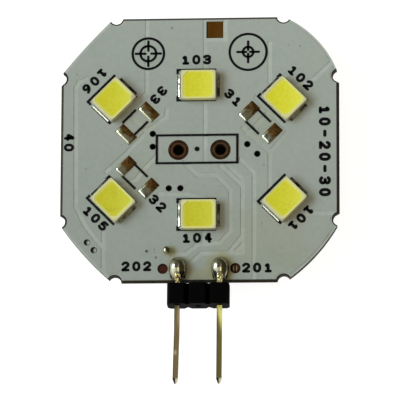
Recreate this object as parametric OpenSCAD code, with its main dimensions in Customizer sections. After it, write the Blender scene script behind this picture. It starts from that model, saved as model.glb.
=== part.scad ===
// Six-LED lamp module: a scored circuit board with a two-pin plug on its lower edge.
// The light side faces +Z, the pins point to -Y and rise a little from the board, and the
// origin is the middle of the pair of plated holes, at the laminate's front face.

/* [Board] */
// Width of the board between its scored side edges
board_w = 26.55; // [26:0.05:30]
// Length of the board between its scored top and bottom edges
board_l = 25.7; // [25.2:0.1:29]
// Distance of the board's middle above the pair of plated holes
board_up = 0.12; // [0:0.01:0.3]
// Thickness of the laminate
board_t = 1.0; // [0.8:0.1:1.6]
// Depth of each scoring cut
score_depth = 0.35; // [0.15:0.01:0.38]
// Angle of a scoring cut's face from upright
score_angle = 30; // [12:0.5:32]
// Radius of the half-round relief notches
notch_r = 0.62; // [0.45:0.01:0.75]
// Bare rim of laminate round each notch
notch_rim = 0.12; // [0.05:0.01:0.2]
// Distance of the notches in the top and bottom edges from the middle
notch_x = 8.0; // [7.6:0.1:8.6]
// Distance of the notches in the side edges from the middle
notch_y = 6.95; // [6.7:0.05:7.4]
// How far the left side's notches lie outside the edge
left_notch_out = 0.1; // [0:0.01:0.2]
// Outward bulge of the top left corner edge
bulge_top_left = 0.1; // [0.05:0.01:0.7]
// Outward bulge of the top right corner edge
bulge_top_right = 0.6; // [0.05:0.01:0.7]
// Outward bulge of the bottom right corner edge
bulge_bottom_right = 0.35; // [0.05:0.01:0.7]
// Outward bulge of the bottom left corner edge
bulge_bottom_left = 0.2; // [0.05:0.01:0.7]

/* [Copper and solder mask] */
// Thickness of the copper foil
copper_t = 0.035; // [0.02:0.005:0.07]
// Thickness of the solder mask over the foil
mask_t = 0.03; // [0.02:0.005:0.05]
// Width of the gaps between the front copper areas
gap_w = 0.5; // [0.3:0.01:0.54]
// Width of the gaps between the back copper areas
back_gap_w = 0.27; // [0.2:0.01:0.32]
// Distance of the copper from the board's edge
pour_inset = 0.28; // [0.27:0.01:0.5]
// How far the mask laps over a copper edge
mask_wrap = 0.04; // [0.02:0.01:0.06]
// Thickness of the printed legend
legend_t = 0.015; // [0.01:0.005:0.015]
// Width of the legend's lines
legend_line = 0.2; // [0.12:0.01:0.24]

/* [Plated holes and bare pads] */
// Distance between the two plated holes in the middle
hole_pitch = 4.0; // [3.8:0.1:4.4]
// Radius of the two plated holes
hole_r = 0.5; // [0.4:0.05:0.55]
// Radius of the bare copper ring round each plated hole
ring_r = 0.98; // [0.8:0.02:1.1]
// Radius of the small through holes
via_r = 0.25; // [0.15:0.01:0.28]
// Wall of the plating in the small through holes
plating_t = 0.04; // [0.03:0.01:0.06]
// Bare rim round each small through hole
via_rim = 0.02; // [0.01:0.01:0.06]
// Radius of the two test pads
test_pad_r = 0.5; // [0.4:0.05:0.55]
// Distance of the test pads from the middle line
test_pad_x = 3.44; // [3.4:0.02:3.6]
// Distance of the test pads from the bottom edge
test_pad_up = 1.28; // [1.2:0.02:1.6]
// Side of the bare copper square near the top edge
bare_square = 1.62; // [1.2:0.02:1.7]
// Distance of the bare copper square from the middle line
bare_square_x = 1.43; // [1.35:0.02:1.6]
// Distance of its middle from the top edge
bare_square_down = 1.26; // [1.2:0.02:1.4]

/* [LEDs] */
// Length of an LED's plastic housing
led_l = 3.4; // [3.1:0.05:3.45]
// Width of an LED's plastic housing
led_w = 2.84; // [2.74:0.02:2.88]
// Height of an LED's plastic housing
led_h = 0.75; // [0.6:0.05:1]
// Taper of the housing from its foot to its top
led_taper = 0.975; // [0.95:0.005:1]
// Length of the window at the top of the housing
window_l = 2.9; // [2.6:0.02:2.94]
// Width of the window at the top of the housing
window_w = 2.6; // [2.3:0.02:2.62]
// Flare of the reflector cavity from its floor to its mouth
window_flare = 1.12; // [1.05:0.01:1.2]
// Radius of three of the window's corners
window_r = 0.45; // [0.2:0.05:0.5]
// Length of the cut on the window's marked corner
window_cut = 0.5; // [0.3:0.05:0.6]
// How far the phosphor lies below the housing's top
phosphor_drop = 0.03; // [0.02:0.01:0.08]
// Thickness of the LED's lead frame
lead_t = 0.2; // [0.15:0.01:0.25]
// Width of the LED's two terminals
lead_w = 2.1; // [1.9:0.05:2.2]
// How far each terminal stands out of the housing
lead_proud = 0.05; // [0.03:0.005:0.1]
// Gap between the two halves of the lead frame
lead_gap = 0.5; // [0.4:0.02:0.6]
// Offset of that gap from the middle of the LED
lead_gap_x = -0.5; // [-0.6:0.05:-0.4]
// Side of the square light-emitting die
die_w = 0.9; // [0.6:0.05:1]
// Height of the die
die_t = 0.15; // [0.1:0.01:0.2]
// Distance of the upper and lower LED from the middle
led_mid_y = 6.28; // [6.2:0.02:6.5]
// Sideways distance of the four outer LEDs
led_side_x = 8.1; // [8:0.02:8.3]
// Distance of the four outer LEDs above and below the middle
led_side_y = 4.87; // [4.8:0.02:5]
// Reach of an LED's solder joint beyond its terminal
led_fillet = 0.28; // [0.2:0.02:0.32]
// Height of an LED's solder joint on its terminal
led_fillet_h = 0.15; // [0.1:0.01:0.18]
// Solder film below every terminal
solder_film = 0.05; // [0.048:0.002:0.07]

/* [Empty resistor places] */
// Sideways distance of the resistor places
place_x = 5.8; // [5.76:0.02:5.9]
// Distance of the resistor places above and below the middle
place_y = 2.6; // [2.55:0.02:2.7]
// Distance between the two pads of a place
place_pitch = 3.06; // [2.9:0.02:3.2]
// Length of a pad across the place
pad_l = 1.9; // [1.7:0.05:2]
// Width of a pad along the place
pad_w = 1.1; // [0.9:0.05:1.2]
// Height of the solder that was melted onto a bare pad
pad_dome_h = 0.26; // [0.15:0.01:0.35]

/* [Pin header] */
// Distance between neighbouring positions of the header
header_pitch = 2.0; // [2:0.01:2.1]
// Length of the header's plastic along the pins
header_h = 2.04; // [1.5:0.02:2.5]
// Depth of the header's plastic from front to back
header_d = 2.0; // [1.8:0.1:2.4]
// Corner cut between neighbouring positions
header_cut = 0.34; // [0.25:0.01:0.5]
// Depth of that cut
header_cut_deep = 0.5; // [0.3:0.02:0.6]
// What is trimmed off each end of the header
header_trim = 0.075; // [0:0.005:0.1]
// Distance between the header and the board's bottom edge
header_gap = 0.41; // [0.2:0.01:0.5]
// Angle at which the header and its pins rise from the board
header_rise = 5; // [0:0.5:6]
// Side of a square pin
pin_w = 0.5; // [0.4:0.02:0.64]
// Play between a pin and its hole in the header
pin_play = 0.01; // [0.01:0.005:0.02]
// Length of a pin on the board's side of the header
pin_tail = 2.38; // [2.2:0.02:2.5]
// Free length of a pin beyond the header
pin_free = 7.5; // [5:0.1:9]
// Length of a pin's tapered point
pin_point = 0.4; // [0.2:0.05:0.6]
// Length of the left pin that is still straight below the header
left_pin_straight = 2.5; // [0.5:0.1:4]
// Outward lean of the left pin below that
left_pin_lean = 1.1; // [0:0.1:2]
// Width of the solder blob on a pin
blob_w = 1.68; // [1.4:0.02:1.76]
// Length of the solder blob on a pin
blob_l = 2.0; // [1.8:0.02:2.04]
// Height of the solder blob above the copper
blob_h = 1.0; // [0.9:0.02:1.2]
// Radius of the loose solder bead beside the left pin
bead_r = 0.36; // [0.2:0.02:0.45]

/* [Driver diodes] */
// Sideways distance of the four bridge diodes
diode_x = 9.2; // [9:0.1:9.6]
// Distance of the bridge diodes above and below the middle
diode_y = 4.6; // [4:0.1:5]
// Length of a diode's moulded body
diode_l = 4.3; // [4:0.05:4.5]
// Width of a diode's moulded body
diode_w = 2.6; // [2.4:0.05:2.8]
// Height of a diode above its pads
diode_h = 2.1; // [1.9:0.05:2.4]
// Width of a diode's leads
diode_lead_w = 1.45; // [1.2:0.05:1.6]
// Thickness of a diode's leads
diode_lead_t = 0.2; // [0.15:0.01:0.25]
// How far a diode's leads stand out of the body
diode_lead_out = 0.35; // [0.3:0.01:0.4]
// Distance of the freewheel diode below the middle
freewheel_y = 8.6; // [8:0.1:9]

/* [Driver inductor, chip and passives] */
// Side of the square inductor
inductor_w = 4.0; // [3.6:0.1:4.4]
// Height of the inductor
inductor_h = 1.8; // [1.5:0.1:1.9]
// Distance of the inductor above the middle
inductor_y = 6.2; // [5.8:0.1:6.6]
// Length of the driver chip's body
chip_l = 2.9; // [2.8:0.05:3]
// Width of the driver chip's body
chip_w = 1.6; // [1.5:0.05:1.7]
// Height of the driver chip
chip_h = 1.1; // [0.9:0.05:1.3]
// Distance between the driver chip's leads
chip_pitch = 0.95; // [0.9:0.01:1]
// Length of a ceramic capacitor
capacitor_l = 3.2; // [3:0.05:3.4]
// Width of a ceramic capacitor
capacitor_w = 1.6; // [1.4:0.05:1.8]
// Height of a ceramic capacitor
capacitor_h = 1.25; // [0.8:0.05:1.6]
// Length of a chip resistor
resistor_l = 2.0; // [1.8:0.05:2.2]
// Width of a chip resistor
resistor_w = 1.25; // [1.1:0.05:1.3]
// Height of a chip resistor
resistor_h = 0.5; // [0.4:0.05:0.6]

/* [Hidden] */

// A cut reaches this far past the face that it opens
over = 0.5;
// Half of a square that covers the whole board
reach = 40;

score_inset = score_depth * tan(score_angle);
mask_top = copper_t + mask_t;
led_base = copper_t + solder_film;
pin_z = led_base + pin_w / 2;
pin_x = header_pitch;
top_y = board_up + board_l / 2;
bottom_y = board_up - board_l / 2;
side_x = board_w / 2;
header_top_y = bottom_y - header_gap;
header_end_y = header_top_y - header_h;
tail_end_y = header_top_y + pin_tail;
tip_y = header_end_y - pin_free;
back_face = -board_t - copper_t;
back_base = back_face - solder_film;

// Angles at which a corner edge leaves its two notches
chord_angle_top = 30;
chord_angle_side = 20;
chord_top = [notch_x + notch_r * cos(chord_angle_top), board_l / 2 - notch_r * sin(chord_angle_top)];
chord_side = [board_w / 2 - notch_r * sin(chord_angle_side), notch_y + notch_r * cos(chord_angle_side)];
chord_step = chord_side - chord_top;
chord_len = norm(chord_step);
chord_mid = (chord_top + chord_side) / 2;
chord_normal = atan2(chord_step[0], -chord_step[1]);
// A corner edge's arc is drawn on this far past its chord, into its two notches
chord_lap = 0.2;
// The board behind the arc is drawn up to this distance from its chord
chord_back = 0.05;

// How far each LED sits off its place in the pattern
led_off = [[0, -0.05], [0, -0.03], [-0.1, -0.05], [-0.05, -0.05], [-0.05, 0], [-0.06, 0.05]];
// Each LED: middle, and the turn of its body. The marked corner is at +X -Y before the turn.
led_places = [
    [led_side_x + led_off[0][0], -led_side_y + led_off[0][1], 45],
    [led_side_x + led_off[1][0], led_side_y + led_off[1][1], -45],
    [led_off[2][0], led_mid_y + led_off[2][1], 180],
    [led_off[3][0], -led_mid_y + led_off[3][1], 180],
    [-led_side_x + led_off[4][0], -led_side_y + led_off[4][1], -45],
    [-led_side_x + led_off[5][0], led_side_y + led_off[5][1], 45]
];
// The printed brackets round the LEDs open the same way on each pair
legend_turns = [45, -45, 0, 0, -45, 45];
// The legend is printed a little off the pads
legend_shift = [-0.23, 0.08];
bracket_l = 3.56;
bracket_w = 2.96;
bracket_tick = 0.3;
frame_l = 7.67;
frame_w = 2.7;
place_line_l = 1.6;
place_line_gap = 1.63;
centre_dot_r = 0.22;

// The resistor places on the left lie this much further out than the one on the right
left_place_out = 0.12;
resistor_places = [
    [place_x, place_y, -45],
    [-place_x - left_place_out, -place_y, -45],
    [-place_x - left_place_out, place_y + left_place_out / 2, 45]
];
hole_places = [[-hole_pitch / 2, 0], [hole_pitch / 2, 0]];
via_places = [
    [-4.45, 1.6], [-4.45, 0.35], [4.55, 0.5], [5.5, -0.45],
    [-2.9, -3.7], [-1.8, -3.7], [-10.65, -8.85], [-10.0, -9.6]
];
test_pad_y = bottom_y + test_pad_up;
bare_square_at = [bare_square_x, top_y - bare_square_down];

// Gaps between the front copper areas, as lines on the board
front_gaps = [
    [[-5.05, top_y], [-5.05, 5.55], [-6.75, 3.95], [-6.75, 3.5], [-5, 1.75]],
    [[0.5, top_y], [0.55, -1]],
    [[2.45, top_y], [2.45, 10.7], [0.5, 10.7]],
    [[-1.45, -1.25], [-0.2, -2.45], [1.55, -2.45], [2.95, -3.95], [2.95, -7.9], [1.95, -9],
        [-0.2, -9.2], [-1.3, -10.05], [-2.55, -10.1]],
    [[2.55, -1.35], [4.1, -2.95], [4.1, -8.35], [2.75, -10], [0.2, -10], [-0.75, -10.9], [-0.75, bottom_y]],
    [[4.1, -8.35], [4.1, -10], [2.75, -10]],
    [[4.1, -9.25], [3.3, -10]],
    [[2.05, -1.6], [3.9, -3.35]],
    [[3.9, -1], [5.2, -2.3], [5.2, bottom_y]],
    [[-10.9, 7], [-11.55, 6.7], [-11.85, 6.15], [-11.75, -5.4], [-10.9, -7.15], [-9.8, -8.65], [-9.1, -9.4]],
    [[-9.1, -7.75], [-9.1, bottom_y]],
    [[-3.1, 3.9], [-3.2, 3.2], [-4.85, 2], [-7, -0.3], [-8.85, -2]],
    [[-4.25, -0.75], [-5.35, -1.9], [-6.05, -2.85], [-7.4, -3.5]],
    [[-3.75, -4.25], [-1.15, -4.3], [0.45, -4.7]],
    [[0.45, -7.8], [0.45, -9.1]],
    [[4.15, 2.05], [6.55, -0.2], [6.7, -0.45], [6.7, -3.95]],
    [[5.4, 5], [8.5, 1.75], [6.85, -0.1]],
    [[4.55, 1.5], [6.5, 3.5]],
    [[6.7, 10.25], [6.7, 6.5]],
    [[12.45, 8.25], [10.8, 6.7], [9.2, 6.1]],
    [[side_x, -6.25], [10.85, -6.25], [8.8, -6.5]]
];
// Gaps between the back copper areas
back_gaps = [
    [[-6.6, top_y], [-6.6, 3.2], [-3.4, 1.6], [3.4, 1.6], [6.6, 3.2], [6.6, top_y]],
    [[0, 1.6], [0, top_y]],
    [[-6.6, 3.2], [-side_x, 3.2]],
    [[6.6, 3.2], [side_x, 3.2]],
    [[-side_x, -2.9], [-6.6, -2.9], [-3.4, -1.7], [3.4, -1.7], [6.6, -2.9], [side_x, -2.9]],
    [[-6.6, -2.9], [-6.6, bottom_y]],
    [[6.6, -2.9], [6.6, bottom_y]],
    [[0, -1.7], [0, 1.6]],
    [[-6.6, -6.8], [6.6, -6.8]],
    [[0, -6.8], [0, bottom_y]]
];

// Places of the back parts: middle and turn
bridge_places = [
    [-diode_x, diode_y, 90], [diode_x, diode_y, 90], [-diode_x, -diode_y, 90], [diode_x, -diode_y, 90]
];
freewheel_place = [0, -freewheel_y, 0];
inductor_place = [0, inductor_y, 0];
chip_place = [1.2, -4.3, 0];
capacitor_places = [[-4.8, -9.6, 90], [4.9, 8.2, 90]];
chip_resistor_places = [[4.9, -9.4, 90], [-4.9, 8.6, 90], [-4.9, -4.9, 90], [4.9, -4.9, 90]];

// Shape of the small parts' metal ends
end_cap_l = 0.45;
end_cap_t = 0.03;
fillet_steps = 6;
corner_steps = 4;

// Helpers in the plane

function arc_points(c, r, from, to, n) =
    [for (i = [0:n]) let (a = from + (to - from) * i / n) [c[0] + r * cos(a), c[1] + r * sin(a)]];

function rounded_box(l, w, r, n) = concat(
    arc_points([l / 2 - r, w / 2 - r], r, 0, 90, n),
    arc_points([-l / 2 + r, w / 2 - r], r, 90, 180, n),
    arc_points([-l / 2 + r, -w / 2 + r], r, 180, 270, n),
    arc_points([l / 2 - r, -w / 2 + r], r, 270, 360, n));

// A rounded window with its marked corner cut off
function window_outline(l, w, r, cut, n) = concat(
    arc_points([l / 2 - r, w / 2 - r], r, 0, 90, n),
    arc_points([-l / 2 + r, w / 2 - r], r, 90, 180, n),
    arc_points([-l / 2 + r, -w / 2 + r], r, 180, 270, n),
    [[l / 2 - cut, -w / 2], [l / 2, -w / 2 + cut]]);

module at(place) {
    translate([place[0], place[1]])
        rotate(place[2])
            children();
}

module strip(from, to, w) {
    translate(from)
        rotate(atan2(to[1] - from[1], to[0] - from[0]))
            translate([-w / 2, -w / 2])
                square([norm(to - from) + w, w]);
}

module routes(lines, w) {
    for (line = lines)
        for (i = [1:len(line) - 1])
            strip(line[i - 1], line[i], w);
}

// Board outline. Inset moves every edge inwards.

module inside_corner(bulge, inset) {
    arc_r = (chord_len * chord_len / 4 + bulge * bulge) / (2 * bulge);
    translate(chord_mid)
        rotate(chord_normal) {
            translate([-reach - chord_back - inset, -reach])
                square([reach, 2 * reach]);
            intersection() {
                translate([bulge - arc_r, 0])
                    circle(r = arc_r - inset, $fn = 360);
                translate([-inset - over, -chord_len / 2 - chord_lap])
                    square([bulge + 2 * over, chord_len + 2 * chord_lap]);
            }
        }
}

module notches(extra) {
    for (x = [-notch_x, notch_x], y = [bottom_y, top_y])
        translate([x, y])
            circle(r = notch_r + extra, $fn = 48);
    for (x = [-side_x - left_notch_out, side_x], y = [-notch_y, notch_y])
        translate([x, board_up + y])
            circle(r = notch_r + extra, $fn = 48);
}

module board_outline(inset = 0) {
    difference() {
        translate([0, board_up])
            intersection() {
                square([board_w - 2 * inset, board_l - 2 * inset], center = true);
                inside_corner(bulge_top_right, inset);
                mirror([1, 0])
                    inside_corner(bulge_top_left, inset);
                mirror([0, 1])
                    inside_corner(bulge_bottom_right, inset);
                mirror([0, 1])
                    mirror([1, 0])
                        inside_corner(bulge_bottom_left, inset);
            }
        notches(inset);
    }
}

// The sloped face that a scoring cut leaves on one edge, centred on the origin
module score_cut(len) {
    slope = tan(score_angle);
    rotate([90, 0, 0])
        linear_extrude(height = len, center = true)
            polygon([
                [-score_inset - over * slope, over], [over, over],
                [over, -score_depth], [0, -score_depth]
            ]);
}

module score_cuts() {
    translate([0, board_up, 0])
        for (side = [0, 180]) {
            rotate(side)
                translate([board_w / 2, 0, 0])
                    score_cut(2 * notch_y);
            rotate(side + 90)
                translate([board_l / 2, 0, 0])
                    score_cut(2 * notch_x);
        }
}

module vias(extra) {
    for (p = via_places)
        translate(p)
            circle(r = via_r + extra, $fn = 32);
}

// Every hole that is drilled through laminate and foil
module drilled_holes() {
    vias(plating_t);
    for (p = hole_places)
        translate(p)
            circle(r = hole_r, $fn = 48);
}

module circuit_board() {
    color("#4a4420")
        difference() {
            translate([0, 0, -board_t])
                linear_extrude(height = board_t)
                    difference() {
                        board_outline();
                        drilled_holes();
                    }
            score_cuts();
            translate([0, 0, -board_t])
                mirror([0, 0, 1])
                    score_cuts();
        }
}

// Copper areas of one side, cut by gaps

module led_splits(w) {
    for (p = led_places)
        at(p)
            strip([lead_gap_x, -led_w / 2 - 0.1], [lead_gap_x, led_w / 2 + 0.1], w);
}

module front_gap_area(w) {
    routes(front_gaps, w);
    led_splits(w);
}

module back_gap_area(w) {
    routes(back_gaps, w);
}

module front_copper_area() {
    difference() {
        board_outline(pour_inset);
        front_gap_area(gap_w);
        drilled_holes();
    }
}

module back_copper_area() {
    difference() {
        board_outline(pour_inset);
        back_gap_area(back_gap_w);
        drilled_holes();
    }
}

module front_copper() {
    color("#8a5a2a")
        linear_extrude(height = copper_t)
            front_copper_area();
}

module back_copper() {
    color("#8a5a2a")
        translate([0, 0, -board_t])
            mirror([0, 0, 1])
                linear_extrude(height = copper_t)
                    back_copper_area();
}

module via_plating() {
    color("#8a5a2a")
        translate([0, 0, back_face])
            linear_extrude(height = board_t + 2 * copper_t)
                difference() {
                    vias(plating_t);
                    vias(0);
                }
}

// Openings in the solder mask

led_pad_out = led_l / 2 + lead_proud + led_fillet;
led_pad_in_right = lead_gap_x + lead_gap;
led_pad_in_left = lead_gap_x - lead_gap;
led_pad_w = lead_w + 0.06;
// How far the solder stays back from the inner ends of the LED's two pads
led_joint_back_right = 0.3;
led_joint_back_left = 0.1;

module led_openings() {
    for (p = led_places)
        at(p) {
            translate([led_pad_in_right, -led_pad_w / 2])
                square([led_pad_out - led_pad_in_right, led_pad_w]);
            translate([-led_pad_out, -led_pad_w / 2])
                square([led_pad_out + led_pad_in_left, led_pad_w]);
        }
}

module place_openings() {
    for (p = resistor_places)
        at(p)
            for (end = [-1, 1])
                translate([end * place_pitch / 2, 0])
                    square([pad_w, pad_l], center = true);
}

module hole_openings() {
    for (p = hole_places)
        translate(p)
            circle(r = ring_r, $fn = 64);
    for (p = via_places)
        translate(p)
            circle(r = via_r + plating_t + via_rim, $fn = 32);
}

module front_openings() {
    led_openings();
    place_openings();
    hole_openings();
    for (end = [-1, 1]) {
        translate([end * test_pad_x, test_pad_y])
            circle(r = test_pad_r, $fn = 48);
        translate([end * pin_x, 0])
            polygon(blob_foot());
    }
    translate(bare_square_at)
        square(bare_square, center = true);
}

// One pad under each end of a back part
module end_pads(half, foot, out, w) {
    for (end = [0, 1])
        mirror([end, 0])
            translate([half - foot, -w / 2])
                square([foot + out, w]);
}

diode_half = diode_l / 2 + diode_lead_out;
diode_foot = 1.1;
diode_fillet = 0.4;
inductor_foot = 0.9;
inductor_fillet = 0.25;
capacitor_fillet = 0.35;
resistor_fillet = 0.3;
chip_lead_w = 0.4;
chip_span = chip_w / 2 + 0.6;
chip_foot = 0.36;
chip_fillet = 0.2;
pad_side = 0.1;

module back_openings() {
    hole_openings();
    for (p = concat(bridge_places, [freewheel_place]))
        at(p)
            end_pads(diode_half, diode_foot, diode_fillet + pad_side, diode_lead_w + 2 * pad_side);
    at(inductor_place)
        end_pads(inductor_w / 2, inductor_foot, inductor_fillet + pad_side, inductor_w * 0.8);
    for (p = capacitor_places)
        at(p)
            end_pads(capacitor_l / 2, end_cap_l, capacitor_fillet + pad_side, capacitor_w + pad_side);
    for (p = chip_resistor_places)
        at(p)
            end_pads(resistor_l / 2, end_cap_l, resistor_fillet + pad_side, resistor_w + pad_side);
    at(chip_place)
        for (x = [-chip_pitch, 0, chip_pitch])
            translate([x, 0])
                rotate(90)
                    end_pads(chip_span, chip_foot, chip_fillet + pad_side, chip_lead_w + pad_side);
}

// The mask: a full layer that dips where there is no copper below it
module mask_layer() {
    difference() {
        linear_extrude(height = mask_top)
            difference() {
                intersection() {
                    board_outline();
                    translate([0, board_up])
                        square([board_w - 2 * score_inset, board_l - 2 * score_inset], center = true);
                }
                notches(notch_rim);
            }
        translate([0, 0, mask_t])
            linear_extrude(height = mask_top)
                difference() {
                    square(2 * reach, center = true);
                    board_outline(pour_inset - mask_wrap);
                }
        children();
    }
}

module front_solder_mask() {
    color("#949b94")
        mask_layer() {
            linear_extrude(height = copper_t)
                front_copper_area();
            translate([0, 0, mask_t])
                linear_extrude(height = mask_top)
                    front_gap_area(gap_w - 2 * mask_wrap);
            translate([0, 0, -over])
                linear_extrude(height = 2 * over)
                    front_openings();
        }
}

module back_solder_mask() {
    color("#949b94")
        translate([0, 0, -board_t])
            mirror([0, 0, 1])
                mask_layer() {
                    linear_extrude(height = copper_t)
                        back_copper_area();
                    translate([0, 0, mask_t])
                        linear_extrude(height = mask_top)
                            back_gap_area(back_gap_w - 2 * mask_wrap);
                    translate([0, 0, -over])
                        linear_extrude(height = 2 * over)
                            back_openings();
                }
}

// Printed outlines round the parts' places

module bracket() {
    for (side = [-1, 1]) {
        strip([-bracket_l / 2, side * bracket_w / 2], [bracket_l / 2, side * bracket_w / 2], legend_line);
        strip([-bracket_l / 2, side * bracket_w / 2],
            [-bracket_l / 2, side * (bracket_w / 2 - bracket_tick)], legend_line);
    }
}

module place_lines() {
    for (side = [-1, 1])
        strip([-place_line_l / 2, side * place_line_gap / 2], [place_line_l / 2, side * place_line_gap / 2],
            legend_line);
}

module legend_ink() {
    difference() {
        square([frame_l + legend_line, frame_w + legend_line], center = true);
        square([frame_l - legend_line, frame_w - legend_line], center = true);
    }
    circle(r = centre_dot_r, $fn = 32);
    for (i = [0:len(led_places) - 1])
        translate([led_places[i][0], led_places[i][1]])
            rotate(legend_turns[i])
                bracket();
    for (p = resistor_places)
        at(p)
            place_lines();
}

// The ink stops at every opening of the mask
module front_legend() {
    color("#101010")
        translate([0, 0, mask_top])
            linear_extrude(height = legend_t)
                difference() {
                    translate(legend_shift)
                        legend_ink();
                    front_openings();
                }
}

// LED packages, each with its foot at the origin

cavity_l = window_l / window_flare;
cavity_w = window_w / window_flare;
cavity_h = led_h - lead_t;
foot_cut = window_cut / window_flare;
foot_r = window_r / window_flare;

// Solid of the reflector cavity from the lead frame up to a height above it
module cavity(height) {
    flare = 1 + (window_flare - 1) * height / cavity_h;
    translate([0, 0, lead_t])
        linear_extrude(height = height, scale = flare)
            polygon(window_outline(cavity_l, cavity_w, foot_r, foot_cut, corner_steps));
}

module terminal_plates() {
    half = led_l / 2 + lead_proud;
    translate([lead_gap_x + lead_gap / 2, -lead_w / 2, 0])
        cube([half - lead_gap_x - lead_gap / 2, lead_w, lead_t]);
    translate([-half, -lead_w / 2, 0])
        cube([half + lead_gap_x - lead_gap / 2, lead_w, lead_t]);
}

module die() {
    translate([(led_l / 2 + lead_gap_x) / 2 - die_w / 2, -die_w / 2, lead_t])
        cube([die_w, die_w, die_t]);
}

module led_housing() {
    color("#e8e2c4")
        difference() {
            linear_extrude(height = led_h, scale = led_taper)
                polygon(rounded_box(led_l, led_w, 0.12, corner_steps));
            cavity(cavity_h + 0.1);
            terminal_plates();
        }
}

module led_phosphor() {
    color("#cfcf30")
        difference() {
            cavity(cavity_h - phosphor_drop);
            die();
        }
}

module led_terminals() {
    color("#c9c9c4")
        terminal_plates();
}

module at_led(i) {
    translate([0, 0, led_base])
        at(led_places[i - 1])
            children();
}

module led_dies() {
    color("#5a7fb0")
        for (i = [1:6])
            at_led(i)
                die();
}

// Solder under a foot and up the end face at x = 0
module solder_joint(foot, out, rise, w) {
    fillet = [
        for (i = [0:fillet_steps])
            let (a = 90 * i / fillet_steps)
                [out * (1 - sin(a)), -solder_film + (rise + solder_film) * (1 - cos(a))]
    ];
    rotate([90, 0, 0])
        linear_extrude(height = w, center = true)
            polygon(concat([[-foot, 0], [-foot, -solder_film]], fillet, [[0, 0]]));
}

module led_solder_joints() {
    half = led_l / 2 + lead_proud;
    foot_right = half - led_pad_in_right - led_joint_back_right;
    foot_left = half + led_pad_in_left - led_joint_back_left;
    color("#b9bcbc")
        for (i = [1:6])
            at_led(i) {
                translate([half, 0, 0])
                    solder_joint(foot_right, led_fillet, led_fillet_h, lead_w);
                mirror([1, 0, 0])
                    translate([half, 0, 0])
                        solder_joint(foot_left, led_fillet, led_fillet_h, lead_w);
            }
}

// Rings of points, closed into one solid by triangles
module ring_solid(rings) {
    n = len(rings[0]);
    last = len(rings) - 1;
    sides = [
        for (k = [0:last - 1], i = [0:n - 1])
            let (j = (i + 1) % n)
                each [
                    [k * n + i, (k + 1) * n + i, (k + 1) * n + j],
                    [k * n + i, (k + 1) * n + j, k * n + j]
                ]
    ];
    floor_face = [[for (i = [0:n - 1]) i]];
    roof_face = [[for (i = [0:n - 1]) last * n + n - 1 - i]];
    polyhedron(points = [for (ring = rings) each ring], faces = concat(floor_face, sides, roof_face));
}

dome_rings = 6;
dome_top = 80;

// A cushion of solder that wets a whole pad
module solder_dome(l, w, h) {
    ring_solid([
        for (k = [0:dome_rings])
            let (a = dome_top * k / dome_rings, s = cos(a))
                [for (p = rounded_box(l * s, w * s, w * s * 0.3, 3)) [p[0], p[1], h * sin(a) / sin(dome_top)]]
    ]);
}

module resistor_pad_solder() {
    color("#b9bcbc")
        translate([0, 0, copper_t])
            for (p = resistor_places)
                at(p)
                    for (end = [-1, 1])
                        translate([end * place_pitch / 2, 0, 0])
                            solder_dome(pad_w, pad_l, pad_dome_h);
}

// Pin header

// One position of the header in the X and Z plane
module header_cell() {
    half = header_pitch / 2;
    deep = header_d / 2;
    flat_x = half - header_cut;
    flat_z = deep - header_cut_deep;
    polygon([
        [half, flat_z], [flat_x, deep], [-flat_x, deep], [-half, flat_z],
        [-half, -flat_z], [-flat_x, -deep], [flat_x, -deep], [half, -flat_z]
    ]);
}

// The header and its pins rise together from the pins' ends on the pads
module raised() {
    translate([0, tail_end_y, led_base])
        rotate([-header_rise, 0, 0])
            translate([0, -tail_end_y, -led_base])
                children();
}

module header_housing() {
    hole = pin_w + 2 * pin_play;
    row = 3 * header_pitch - 2 * header_trim;
    color("#151515")
        raised()
            translate([0, header_top_y, pin_z])
                rotate([90, 0, 0])
                    linear_extrude(height = header_h)
                        difference() {
                            intersection() {
                                for (i = [-1:1])
                                    translate([i * header_pitch, 0])
                                        header_cell();
                                square([row, header_d + over], center = true);
                            }
                            for (i = [-1:1])
                                translate([i * header_pitch, 0])
                                    square(hole, center = true);
                        }
}

// Square wire with a four-sided point at its far end, from y = 0 down to y = -len
module pointed_wire(len) {
    half = pin_w / 2;
    tip = pin_w / 5;
    outline = [
        [-half, 0], [half, 0], [half, pin_point - len], [tip, -len], [-tip, -len], [-half, pin_point - len]
    ];
    intersection() {
        linear_extrude(height = pin_w, center = true)
            polygon(outline);
        rotate([0, 90, 0])
            linear_extrude(height = pin_w, center = true)
                polygon(outline);
    }
}

// Pin whose free length leans from a given distance below the header
module pin(x, straight, lean) {
    color("#a8894a")
        raised()
            translate([x, header_end_y - straight, pin_z]) {
                translate([-pin_w / 2, 0, -pin_w / 2])
                    cube([pin_w, straight + header_h + pin_tail, pin_w]);
                rotate(lean)
                    pointed_wire(pin_free - straight);
            }
}

// How far the solder reaches past the pin's end
blob_ahead = 0.36;
blob_start = tail_end_y + blob_ahead;
blob_steps = 10;
blob_sides = 12;
// Share of its width and of its height that the blob loses towards the board's edge
blob_narrowing = 0.22;
blob_fall = 0.65;

// Size of the blob at a share t of its length, from the pin's end to the board's edge
function blob_rise(t) = sqrt(1 - pow(1 - 2 * t, 2));
function blob_width(t) = (blob_w / 2) * (t < 0.5 ? blob_rise(t) : 1 - blob_narrowing * pow(2 * t - 1, 2));
function blob_height(t) = blob_h * (t < 0.5 ? blob_rise(t) : 1 - blob_fall * pow(2 * t - 1, 1.5));
function blob_share(k) = 0.02 + 0.98 * k / blob_steps;

// Outline of the blob on its pad, with its pin at x = 0
function blob_foot() = concat(
    [for (k = [0:blob_steps]) [blob_width(blob_share(k)), blob_start - blob_l * blob_share(k)]],
    [for (k = [blob_steps:-1:0]) [-blob_width(blob_share(k)), blob_start - blob_l * blob_share(k)]]);

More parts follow.
